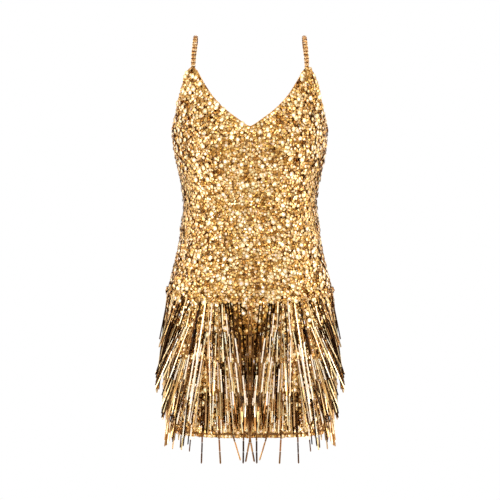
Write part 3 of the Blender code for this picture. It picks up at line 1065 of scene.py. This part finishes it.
    def build(self, wardrobe: Wardrobe) -> list[Piece]:
        """Make and finish the panel.

        Args:
            wardrobe: keeps the finishes.

        Returns:
            The net first, then its sequins.
        """
        net = wardrobe.dress(self.cloth(), NET, "sequin_cloth", f"{self.name}_panel")
        sequins = [wardrobe.dress(piece, GOLD_SEQUINS, "sequin_cloth") for piece in self.sequins()]
        return [net, *sequins]


@dataclass
class BeadedEdge:
    """A cord of round beads along a cut edge, on a core that fills it."""

    name: str
    node: str
    path: Points
    seed: int
    bead_cut: tuple[int, int] = (8, 6)
    bead_radius: float = 0.00155
    bead_spread: Stretch = (0.92, 1.08)
    bead_flat: float = 0.86
    bead_shades: Stretch = (0.10, 0.85)
    pitch: float = 0.0028
    core_radius: float = 0.0011
    core_step: int = 4

    def build(self, wardrobe: Wardrobe) -> list[Piece]:
        """Make and finish the core and its beads.

        Args:
            wardrobe: keeps the finishes.

        Returns:
            The beads, then the core.
        """
        rng = np.random.default_rng(self.seed)
        run = run_along(self.path)
        count = int(run[-1] / self.pitch)
        place = on_path((np.arange(count) + 0.5) * run[-1] / count, run, self.path)
        size = np.repeat(self.bead_radius * rng.uniform(*self.bead_spread, count)[:, None], 3, axis=1)
        size[:, 2] *= self.bead_flat
        frames = turned_frames(unit(np.gradient(place, axis=0)), rng.uniform(0, BEAD_TURN, count), size)
        swarm = Swarm(f"{self.name}_beads", SmallShape.bead(*self.bead_cut), smooth=True)
        swarm.add(place, frames, rng.uniform(*self.bead_shades, count))
        beads = wardrobe.dress(swarm.build(), GOLD_SEED_BEADS, "edge_beads", self.node)
        core = tube(f"{self.name}_core", self.path[:: self.core_step], self.core_radius)
        core.data.uv_layers.new(name="metres")
        return [beads, wardrobe.dress(core, NET, "edge_beads")]


# The centre line of the left strap between its two sewn ends: x, y and drop.
STRAP_PATH: Rows = (
    (0.1112, -0.0690, 0.0560), (0.1095, -0.0560, 0.0290), (0.1082, -0.0310, 0.0083),
    (0.1080, 0.0000, STRAP_THICKNESS / 2), (0.1094, 0.0310, 0.0095), (0.1135, 0.0530, 0.0350),
    (0.1172, 0.0650, 0.0760), (0.1190, 0.0675, 0.1250), (0.1185, 0.0660, 0.1680),
)


@dataclass
class Strap:
    """A shoulder strap: a narrow band with rows of beads all round it.

    A seam is given by how far it lies from the centre line, its drop, and how far up the strap's end sits.
    Corners of the band and columns of beads are given by how far across and how far out they lie.
    """

    label: str
    side: int
    form: GarmentForm
    seed: int
    wall: float = 0.002
    front_seam: tuple[float, ...] = (0.112, 0.0735, 0.0004)
    back_seam: tuple[float, ...] = (0.118, 0.203, 0.0042)
    probe: float = 0.01
    settle: Stretch = (0.4, 0.6)
    inside_z: float = -0.1
    steps: int = 160
    corners: Rows = ((-0.0028, 0.0006), (-0.0010, 0.0010), (0.0010, 0.0010), (0.0028, 0.0006))
    columns: Rows = ((-0.0026, 0.0006), (0.0000, 0.0010), (0.0026, 0.0006))
    row_pitch: float = 0.0027
    bead_cut: tuple[int, int] = (6, 4)
    bead_size: float = 0.00124
    bead_long: float = 1.1
    band_rows: int = 3
    row_shades: Stretch = (0.05, 0.76)
    row_sizes: Stretch = (0.94, 1.0)
    shade_spread: float = 0.17
    # Painted shade: how dark the beads are at the top of the shoulder, and the drops over which it fades.
    top_painted_shade: float = 0.25
    top_drops: Stretch = (0.004, 0.022)

    def end(self, side: Side, x: float, drop: float, seat: float) -> Pair:
        """Where the left strap meets a panel.

        Args:
            side: the panel.
            x: how far the seam lies from the centre line.
            drop: its drop.
            seat: how far up the strap's end sits.

        Returns:
            The place, and the way that the cloth runs there.
        """
        way = 1 if side is Side.FRONT else -1
        angle = side.value + way * float(self.form.angle_at(x, drop))
        place = self.form.point(angle, drop) - self.form.normal(angle, drop) * self.wall / 2
        ahead, behind = (self.form.point(angle + way * step, drop) for step in (self.probe, -self.probe))
        return place + np.array([0, 0, seat]), unit(ahead - behind)

    def line(self) -> tuple[Points, Points, Points]:
        """The strap's run.

        Returns:
            Distances along it, its centre line, and the way its width lies.
        """
        front, front_across = self.end(Side.FRONT, *self.front_seam)
        back, back_across = self.end(Side.BACK, *self.back_seam)
        places = np.array([front, *([x, y, height(drop)] for x, y, drop in STRAP_PATH), back])
        level, (less, more) = np.array([1.0, 0.0, 0.0]), self.settle
        across = [front_across, front_across * less + level * more] + [level] * (len(places) - 4)
        across += [back_across * more + level * less, back_across]
        run = run_along(places)
        at = np.linspace(0, run[-1], self.steps)
        centre, width = (smooth_curve(np.column_stack([run, table]), at) for table in (places, across))
        centre[:, 0] *= self.side
        width[:, 1] *= self.side
        return at, centre, unit(width)

    def build(self, wardrobe: Wardrobe) -> list[Piece]:
        """Make and finish the band and its beads.

        Args:
            wardrobe: keeps the finishes.

        Returns:
            The beads, then the band.
        """
        rng = np.random.default_rng(self.seed)
        run, centre, across = self.line()
        out = unit(np.cross(unit(np.gradient(centre, axis=0)), across))
        from_inside = centre - np.array([centre[0, 0], 0.0, self.inside_z])
        out *= np.where((out * from_inside).sum(axis=1, keepdims=True) < 0, -1, 1)
        half, lift = np.array(self.corners).T[..., None, None]
        faces = [centre[None] + across[None] * half + out[None] * lift * sign for sign in (-1, 1)]
        band = lofted_wall(f"strap_{self.label}_band", *faces, ring=False)
        rows = int(run[-1] / self.row_pitch)
        at = (np.arange(rows) + 0.5) * run[-1] / rows
        low = np.arange(rows) % self.band_rows == 0
        bright, small = np.where(low, *self.row_shades), np.where(low, *self.row_sizes)[:, None]
        drops = STRAP_THICKNESS - np.interp(at, run, centre[:, 2])
        # Painted shade: beads darken towards the top of the shoulder, where the strap turns away from the
        # light.
        bright = bright * (self.top_painted_shade + (1 - self.top_painted_shade) * soft_step(drops, *self.top_drops))
        axis = unit(on_path(at, run, across))
        size = np.tile([1.0, 1.0, self.bead_long], (rows, 1)) * self.bead_size * small
        swarm = Swarm(f"strap_{self.label}_beads", SmallShape.bead(*self.bead_cut), smooth=True)
        for x, z in self.columns:
            for sign in (1, -1):
                place = on_path(at, run, centre + across * x + out * z * sign)
                shade = np.clip(bright + rng.normal(0, self.shade_spread, rows), 0, 1)
                swarm.add(place, turned_frames(axis, rng.uniform(0, BEAD_TURN, rows), size), shade)
        beads = wardrobe.dress(swarm.build(), GOLD_SEED_BEADS, "strap_beads", f"strap_{self.label}")
        return [beads, wardrobe.dress(band, NET, "strap_beads")]


@dataclass(frozen=True)
class Tier:
    """A row of fringe.

    Shortest is the shortest strand's share of the length. Leans are in degrees, sweep is the row's share of
    the table of sweeps, widest is as far from the centre line as a tip may reach, dark is the share of dark
    strands, root_out is how far off the cloth the inner strands start, and shade_seed settles their shades.
    """

    number: int
    drop_at_side: float
    drop_at_centre: float
    length: float
    shortest: float
    lean_at_centre: float
    lean_at_side: float
    sweep: float
    widest: float
    dark: float
    strands: int
    root_out: float
    shade_seed: int

    def tape_drop(self, angle: Points) -> Points:
        """The drop of the tape's top, which dips at the centre front and back."""
        return self.drop_at_side + (self.drop_at_centre - self.drop_at_side) * np.cos(angle) ** 2


TIERS = (
    Tier(1, 0.504, 0.525, 0.114, 0.84, 5.0, 6.5, 0.80, 0.180, 0.47, 176, 0.0012, 131),
    Tier(2, 0.564, 0.585, 0.140, 0.76, 5.0, 8.5, 1.12, 0.186, 0.40, 176, 0.0026, 92),
    Tier(3, 0.628, 0.644, 0.128, 0.84, 5.0, 6.0, 0.75, 0.174, 0.32, 176, 0.0026, 93),
    Tier(4, 0.692, 0.702, 0.124, 0.80, 4.0, 3.5, 0.26, 0.168, 0.24, 154, 0.0026, 94),
)
# By tier, the strands in front that catch the light, given as painted highlights: how far out the strand's
# middle hangs, and the shares of its length between which it is painted pale.
PAINTED_HIGHLIGHT_STRANDS: dict[int, Rows] = {
    1: ((0.030, 0.6, 1.0), (0.046, 0.2, 0.6), (0.077, 0.0, 0.6)),
    2: (
        (0.014, 0.6, 1.0), (0.028, 0.4, 0.8), (0.040, 0.4, 0.8), (0.058, 0.6, 1.0), (0.071, 0.2, 0.8),
        (0.075, 0.2, 0.8), (0.098, 0.4, 0.8), (0.102, 0.2, 1.0), (0.106, 0.2, 0.8), (0.111, 0.2, 1.0),
        (0.126, 0.4, 0.8),
    ),
    3: (
        (0.009, 0.4, 0.8), (0.002, 0.2, 0.6), (0.024, 0.2, 0.6), (0.042, 0.2, 0.6), (0.060, 0.0, 0.4),
        (0.108, 0.4, 1.0), (0.114, 0.4, 1.0), (0.132, 0.6, 1.0),
    ),
    4: ((0.110, 0.2, 0.8),),
}
# How far a strand swings out to the side by its angle from the nearer centre line, both in degrees.
SWEEPS: Rows = ((0, 0), (8, -6), (20, -6), (28, 2), (38, 9), (46, 20), (54, 25), (66, 19), (78, 9), (90, 0))
# Strands that hang past the hem near the centre: x and drop of the root, x and drop of the tip, and shade.
LOW_STRANDS: Rows = (
    (0.0880, 0.740, 0.0890, 0.839, 0.08), (0.0620, 0.722, 0.0550, 0.838, 0.20),
    (0.0450, 0.744, 0.0190, 0.831, 0.24), (0.0120, 0.730, 0.0135, 0.837, 0.12),
    (-0.0090, 0.742, 0.0085, 0.834, 0.24),
)


@dataclass
class FringeTier:
    """One tier: a narrow tape round the skirt and its strands of tube beads.

    Strays and spreads are how unevenly a value falls. Hems are for the lowest tier, whose strands near the
    centre line end above the hem, and thin is for the top one, where strands are left out.
    """

    tier: Tier
    form: GarmentForm
    seed: int
    tape_height: float = 0.006
    tape_seat: float = 0.0005
    tape_wall: float = 0.0007
    tape_columns: int = 180
    root_steps: int = 400
    root_stray: float = 0.32
    root_heights: Stretch = (0.2, 1.0)
    low_root_out: float = 0.0066
    low_tip_out: float = 0.0116
    tube_beads: int = 5
    tube_radius: float = 0.00140
    seed_cut: tuple[int, int] = (5, 3)
    seed_radius: float = 0.00110
    seed_room: float = 1.2
    seed_shade: float = 0.85
    low_radius: float = 0.00175
    longest: float = 1.05
    least_lean: float = 1.5
    lean_spread: float = 2.2
    sweep_spread: float = 3.0
    bend_spread: float = 0.006
    turn_spread: float = 0.05
    clear_of_centre: float = 0.0015
    lowest_tip: float = 0.818
    hem_clear: float = 0.004
    hem_angle: float = 40.0
    hem_lengths: Stretch = (0.8, 1.0)
    back_rise: float = 0.034
    thin_x: tuple[float, ...] = (0.020, 0.036, 0.090)
    shade_ranges: Rows = ((0.00, 0.18), (0.35, 0.70), (0.72, 0.84))
    shade_spread: Stretch = (0.03, 0.12)
    pale_share: float = 0.22
    # Painted shade: the extra share of dark strands towards the sides, and where it rises.
    side_painted_shade: float = 0.16
    dark_side_x: Stretch = (0.11, 0.15)
    # Painted shade for the hollow between the legs: how it narrows, the share of strands darkened, and by how
    # much.
    hollow_narrow: float = 0.8
    hollow_share: float = 0.90
    hollow_painted_shade: float = 0.75

    @property
    def lowest(self) -> bool:
        """Whether this is the lowest tier."""
        return self.tier.number == len(TIERS)

    def tape(self) -> Piece:
        """The tape, as a closed band round the skirt.

        Returns:
            The object.
        """
        angle = np.linspace(-math.pi, math.pi, self.tape_columns, endpoint=False)[:, None]
        drop = self.tier.tape_drop(angle) + np.array([[0.0, self.tape_height / 2, self.tape_height]])
        outs = (self.tape_seat + self.tape_wall, self.tape_seat)
        faces = [self.form.point(np.repeat(angle, 3, axis=1), drop, out) for out in outs]
        return lofted_wall(f"fringe_tape_{self.tier.number}", *faces, ring=True)

    def root_angles(self, rng: Random) -> Points:
        """Even steps round half the skirt, a little unsettled.

        Args:
            rng: the source of the unevenness.

        Returns:
            The angles, from the centre front to the centre back.
        """
        fine = np.linspace(0, math.pi, self.root_steps)
        run = run_along(self.form.plain(fine, self.tier.tape_drop(fine)))
        count = self.tier.strands // 2
        stray = rng.uniform(-self.root_stray, self.root_stray, count)
        return np.interp((np.arange(count) + 0.5 + stray) * run[-1] / count, run, fine)

    def strands(self) -> Pair:
        """The strands on the +X side.

        Returns:
            The roots, and the vectors from the roots to the tips.
        """
        rng = np.random.default_rng(self.seed)
        tier, angle = self.tier, self.root_angles(rng)
        count, number = len(angle), np.arange(len(angle))
        drop = tier.tape_drop(angle) + self.tape_height * rng.uniform(*self.root_heights, count)
        outward = unit(self.form.normal(angle, drop) * [1.0, 1.0, 0.0])
        sideways = np.cross([0.0, 0.0, 1.0], outward)
        from_centre = np.degrees(np.arcsin(np.abs(np.sin(angle))))
        sweep = tier.sweep * smooth_curve(SWEEPS, from_centre)[..., 0] * np.sign(np.sin(2 * angle))
        sweep = np.tan(np.radians(sweep + rng.normal(0, self.sweep_spread, count)))[:, None]
        lean = tier.lean_at_centre + (tier.lean_at_side - tier.lean_at_centre) * np.sin(angle) ** 2
        lean = np.maximum(lean + rng.normal(0, self.lean_spread, count), self.least_lean)
        run = np.array([[0.0, 0.0, -1.0]]) + outward * np.tan(np.radians(lean))[:, None] + sideways * sweep
        length = tier.length * rng.uniform(tier.shortest, self.longest, count)
        if self.lowest:
            room = (HEM_DROP - drop - self.hem_clear) * rng.uniform(*self.hem_lengths, count)
            length = np.minimum(length, np.where(from_centre < self.hem_angle, room, self.lowest_tip - drop))
        roots = self.form.point(angle, drop, tier.root_out * (1 + number % 2))
        runs = unit(run) * length[:, None]
        over = np.abs(roots[:, 0] + runs[:, 0]) - tier.widest
        runs[:, 0] -= np.sign(roots[:, 0]) * np.maximum(over, 0.0)
        runs[:, 0] = np.maximum(runs[:, 0], self.clear_of_centre - roots[:, 0])
        if self.lowest:
            return self.with_low_strands(roots, runs)
        if tier.number == 1:
            x, (near, middle, side) = roots[:, 0], self.thin_x
            thin = np.where(x < near, number % 3 > 0, (x < middle) & (number % 2 > 0)) & (roots[:, 1] < 0)
            thin |= (x > side) & (number % 3 == 0)
            roots, runs = roots[~thin], runs[~thin]
        return roots, runs

    def with_low_strands(self, roots: Points, runs: Points) -> Pair:
        """Add the few strands that hang past the hem near the centre, in front and behind.

        Args:
            roots: the roots so far.
            runs: the vectors from the roots to the tips so far.

        Returns:
            The roots and the vectors with the new ones last.
        """
        for root_x, root_drop, tip_x, tip_drop, _ in LOW_STRANDS:
            for side, way, rise in ((Side.FRONT, 1, 0.0), (Side.BACK, -1, self.back_rise)):
                root_angle = side.value + way * float(self.form.angle_at(root_x, root_drop))
                tip_angle = side.value + way * float(self.form.angle_at(tip_x, HEM_DROP))
                root = self.form.point(root_angle, root_drop, self.low_root_out)
                tip = self.form.point(tip_angle, HEM_DROP, self.low_tip_out)
                tip[2] = height(tip_drop - rise)
                roots, runs = np.vstack([roots, root]), np.vstack([runs, tip - root])
        return roots, runs

    def strand_shades(self, middles: Points, rng: Random) -> Points:
        """Strand beads' shades: dark, middling or pale, painted shade in the hollow, painted highlights.

        Args:
            middles: the middle of each strand.
            rng: the source of the unevenness.

        Returns:
            The shades, a row for each bead along the strands.
        """
        count, x = len(middles), np.abs(middles[:, 0])
        kind = rng.random(count)
        dark, middling, pale = (rng.uniform(*ends, count) for ends in self.shade_ranges)
        # Painted shade: more strands are dark towards the sides, where the skirt turns away from the light.
        share = self.tier.dark + self.side_painted_shade * soft_step(x, *self.dark_side_x)
        shade = np.where(kind < share, dark, np.where(kind < 1 - self.pale_share, middling, pale))
        # Painted shade: strands in front of the hollow between the legs are darkened to stand for its shadow.
        dim = HOLLOW_PAINTED_SHADE.shade(middles[:, 0] * self.hollow_narrow, STRAP_THICKNESS - middles[:, 2])
        dim = dim * (middles[:, 1] < 0) * (rng.random(count) < self.hollow_share)
        shade = shade * (1 - self.hollow_painted_shade * dim)
        if self.lowest:
            shade[-2 * len(LOW_STRANDS):] = np.repeat([row[-1] for row in LOW_STRANDS], 2)
        shades = np.tile(shade, (self.tube_beads, 1))
        least, gain = self.shade_spread
        shades = np.clip(shades + rng.normal(0, least + gain * shades), 0, 1)
        along = (np.arange(self.tube_beads) + 0.5) / self.tube_beads
        # Painted highlights: parts of the listed strands are made pale to stand for the light they catch.
        for highlight_x, start, end in PAINTED_HIGHLIGHT_STRANDS[self.tier.number]:
            nearest = np.argmin(np.abs(x + (middles[:, 1] > 0) - highlight_x))
            shades[(along > start) & (along < end), nearest] = 1.0
        return shades

    def build(self, wardrobe: Wardrobe) -> list[Piece]:
        """Make and finish the strands, their small beads and the tape.

        Args:
            wardrobe: keeps the finishes.

        Returns:
            The tube beads, the seed beads and the tape.
        """
        rng, number = np.random.default_rng(self.tier.shade_seed), self.tier.number
        roots, runs = self.strands()
        count, length = len(roots), np.linalg.norm(runs, axis=1)
        tubes = Swarm(f"fringe_strands_{number}", SmallShape.tube_bead())
        seeds = Swarm(f"fringe_seed_beads_{number}", SmallShape.bead(*self.seed_cut), smooth=True)
        base_turn = rng.uniform(0, math.pi / 3, count)
        shades = self.strand_shades(roots + runs / 2, rng)
        radius = np.full(count, self.tube_radius)
        if self.lowest:
            radius[-2 * len(LOW_STRANDS):] = self.low_radius
        step = length / self.tube_beads - self.seed_room * self.seed_radius
        size, seed_size = np.stack([radius, radius, step], axis=-1), np.full((count, 3), self.seed_radius)
        for k, shade in enumerate(shades):
            middle, knot = (roots + runs * ((k + share) / self.tube_beads) for share in (0.5, 1.0))
            axis = unit(runs + rng.normal(0, self.bend_spread, runs.shape) * length[:, None])
            turn = base_turn + rng.normal(0, self.turn_spread, count)
            for way in (1, -1):
                mirror = np.array([way, 1, 1])
                tubes.add(middle * mirror, turned_frames(axis * mirror, turn * way, size), shade)
                frames = turned_frames(axis * mirror, turn, seed_size)
                seeds.add(knot * mirror, frames, shade * self.seed_shade)
        strands = wardrobe.dress(tubes.build(), GOLD_TUBE_BEADS, "bead_strands", f"fringe_tier_{number}")
        small = wardrobe.dress(seeds.build(), GOLD_SEED_BEADS, "bead_strands")
        return [strands, small, wardrobe.dress(self.tape(), NET, "bead_strands")]


@dataclass
class SlipDress:
    """The whole dress."""

    form: GarmentForm
    wardrobe: Wardrobe
    cord_up: float = 0.0014
    cord_back: float = 0.0010
    cord_stop: float = 0.024
    seam_stop: float = 0.012

    def build(self) -> None:
        front_cut = PanelCut(Side.FRONT, NECKLINE, ARMHOLE, self.form)
        back_cut = PanelCut(Side.BACK, BACK_DIP, BACK_UNDERARM, self.form)
        front = Panel("front", front_cut, seed=11).build(self.wardrobe)
        back = Panel("back", back_cut, seed=12).build(self.wardrobe)
        edges = self.edges(front_cut, back_cut)
        straps, fringe = [], []
        for label, side in (("left", 1), ("right", -1)):
            straps += Strap(label, side, self.form, seed=31 + side).build(self.wardrobe)
        for tier in TIERS:
            fringe += FringeTier(tier, self.form, seed=40 + tier.number).build(self.wardrobe)
        LOG.info("%d edge pieces, %d fringe pieces", len(edges), len(fringe))

    def edges(self, front_cut: PanelCut, back_cut: PanelCut) -> list[Piece]:
        """The beaded cords along the neckline, the armholes and the back.

        Args:
            front_cut: the front's top edge.
            back_cut: the back's top edge.

        Returns:
            The pieces.
        """
        neck = front_cut.stretch(NECKLINE)[-1, 0] - self.cord_stop
        arm = front_cut.stretch(ARMHOLE)[0, 0] + self.cord_stop
        seam = QUARTER - self.seam_stop
        runs = (
            ("neckline", "neckline_edging", front_cut, -neck, neck, 240),
            ("armhole_left", "armhole_edging_left", front_cut, arm, seam, 120),
            ("armhole_right", "armhole_edging_right", front_cut, -arm, -seam, 120),
            ("back_edge", "back_edging", back_cut, -seam, seam, 240),
        )
        pieces = []
        for number, (name, node, cut, start, end, steps) in enumerate(runs):
            path = cut.edge_path(start, end, steps, self.cord_up, self.cord_back)
            pieces += BeadedEdge(name, node, path, seed=20 + number).build(self.wardrobe)
        return pieces


# ---------------------------------------------------------------- studio


@dataclass(frozen=True)
class Softbox:
    """A square soft light: where it stands, what it looks at, its size and its power."""

    name: str
    place: tuple[float, float, float]
    aim: tuple[float, float, float]
    width: float
    height: float
    watts: float


@dataclass
class Studio:
    """A plain pale floor, soft lights, a light room and the camera.

    The room that the metal mirrors has patches, brighter towards the sides and behind the dress, and a level
    strip. Their levels are rows of place and grey.
    """

    eye_distance: float = 2.6
    eye_height: float = -0.4245
    lens: float = 93.6
    sensor: float = 36.0
    floor_drop: float = 1.40
    floor_radius: float = 2.1
    floor_fade: Stretch = (0.5, 0.98)
    boxes: tuple[Softbox, ...] = (
        Softbox("left_light", (-2.1, -1.0, -0.9), (0.0, 0.0, -0.60), 0.8, 0.9, 9.0),
        Softbox("right_light", (2.1, -1.0, -0.9), (0.0, 0.0, -0.60), 0.8, 0.9, 9.0),
        Softbox("top_light", (0.0, -1.7, 1.6), (0.0, 0.0, -0.35), 1.8, 1.0, 25.0),
        Softbox("back_light", (0.0, 2.3, 1.2), (0.0, 0.0, -0.40), 1.8, 1.2, 20.0),
    )
    patch_levels: Ramp = ((0.32, 0.04), (0.43, 0.11), (0.54, 0.23), (0.62, 0.58), (0.69, 0.82))
    patch_scale: float = 6.5
    patch_light: float = 4.4
    side_light: float = 0.15
    back_light: float = 1.9
    strip_levels: Ramp = ((0.22, 0.03), (0.38, 0.8), (0.82, 1.0), (0.94, 0.46))
    strip_light: float = 2.1
    strip_narrow: float = 60.0
    warm: Colour = (1.0, 0.985, 0.96)

    def lights(self) -> None:
        """Stand the soft lights."""
        for box in self.boxes:
            lamp = bpy.data.lights.new(box.name, "AREA")
            lamp.shape = "RECTANGLE"
            lamp.size, lamp.size_y = box.width, box.height
            lamp.energy = box.watts
            item = add_object(box.name, lamp)
            item.location = box.place
            toward = Vector(box.aim) - Vector(box.place)
            item.rotation_euler = toward.to_track_quat("-Z", "Y").to_euler()

    def room(self) -> None:
        """A white ground behind the dress, and an uneven room for the metal to mirror."""
        world = bpy.data.worlds.new("studio_room")
        bpy.context.scene.world = world
        world.use_nodes = True
        board = Board(world.node_tree)
        way = board.node("TexCoord", {}, "Generated")
        aside, behind, level = (board.axis(way, name) for name in ("X", "Y", "Z"))
        far = behind * 0.5 + 0.5
        patches = board.ramp(self.patch_levels, board.noise(way, self.patch_scale, 2.0)) * self.patch_light
        patches = patches * (aside * aside * self.side_light + 1.0) + far * far * far * far * self.back_light
        strip = board.ramp(self.strip_levels, 1.0 - far) * self.strip_light
        near = board.node("Math", {0: level * level * -self.strip_narrow}, operation="EXPONENT")
        glow = patches * (1.0 - near) + strip * near
        lit = board.node("Background", {"Color": (*self.warm, 1.0), "Strength": glow})
        white = board.node("Background", {"Color": (1.0, 1.0, 1.0, 1.0), "Strength": 1.0})
        seen = board.node("LightPath", {}, "Is Camera Ray")
        board.end("World", board.node("MixShader", {0: seen, 1: lit, 2: white}))

    def floor(self) -> None:
        """A pale round floor that fades out at its rim."""
        circle = bpy.ops.mesh.primitive_circle_add
        item = add_primitive(circle, vertices=96, radius=self.floor_radius, fill_type="NGON")
        item.name = "floor"
        item.data.transform(Matrix.Translation((0.0, 0.0, -self.floor_drop)))
        start, end = (share * self.floor_radius for share in self.floor_fade)
        item.data.materials.append(PaleFloor("pale_floor", fade=(start, end)).material())

    def camera(self) -> None:
        """Stand the camera level in front of the dress."""
        data = bpy.data.cameras.new("camera")
        data.lens = self.lens
        data.sensor_width = self.sensor
        item = add_object("camera", data)
        item.location = (0.0, -self.eye_distance, self.eye_height)
        item.rotation_euler = (QUARTER, 0.0, 0.0)
        bpy.context.scene.camera = item

    def build(self) -> None:
        """Set up the studio."""
        self.camera()
        self.lights()
        self.room()
        self.floor()
        bpy.context.scene.view_settings.view_transform = "Standard"


def main() -> None:
    """Build the dress and the studio, and note the sizes."""
    logging.basicConfig(level=logging.INFO, format="%(name)s %(message)s")
    Studio().build()
    SlipDress(GarmentForm(), Wardrobe()).build()


if __name__ == "__main__":
    main()
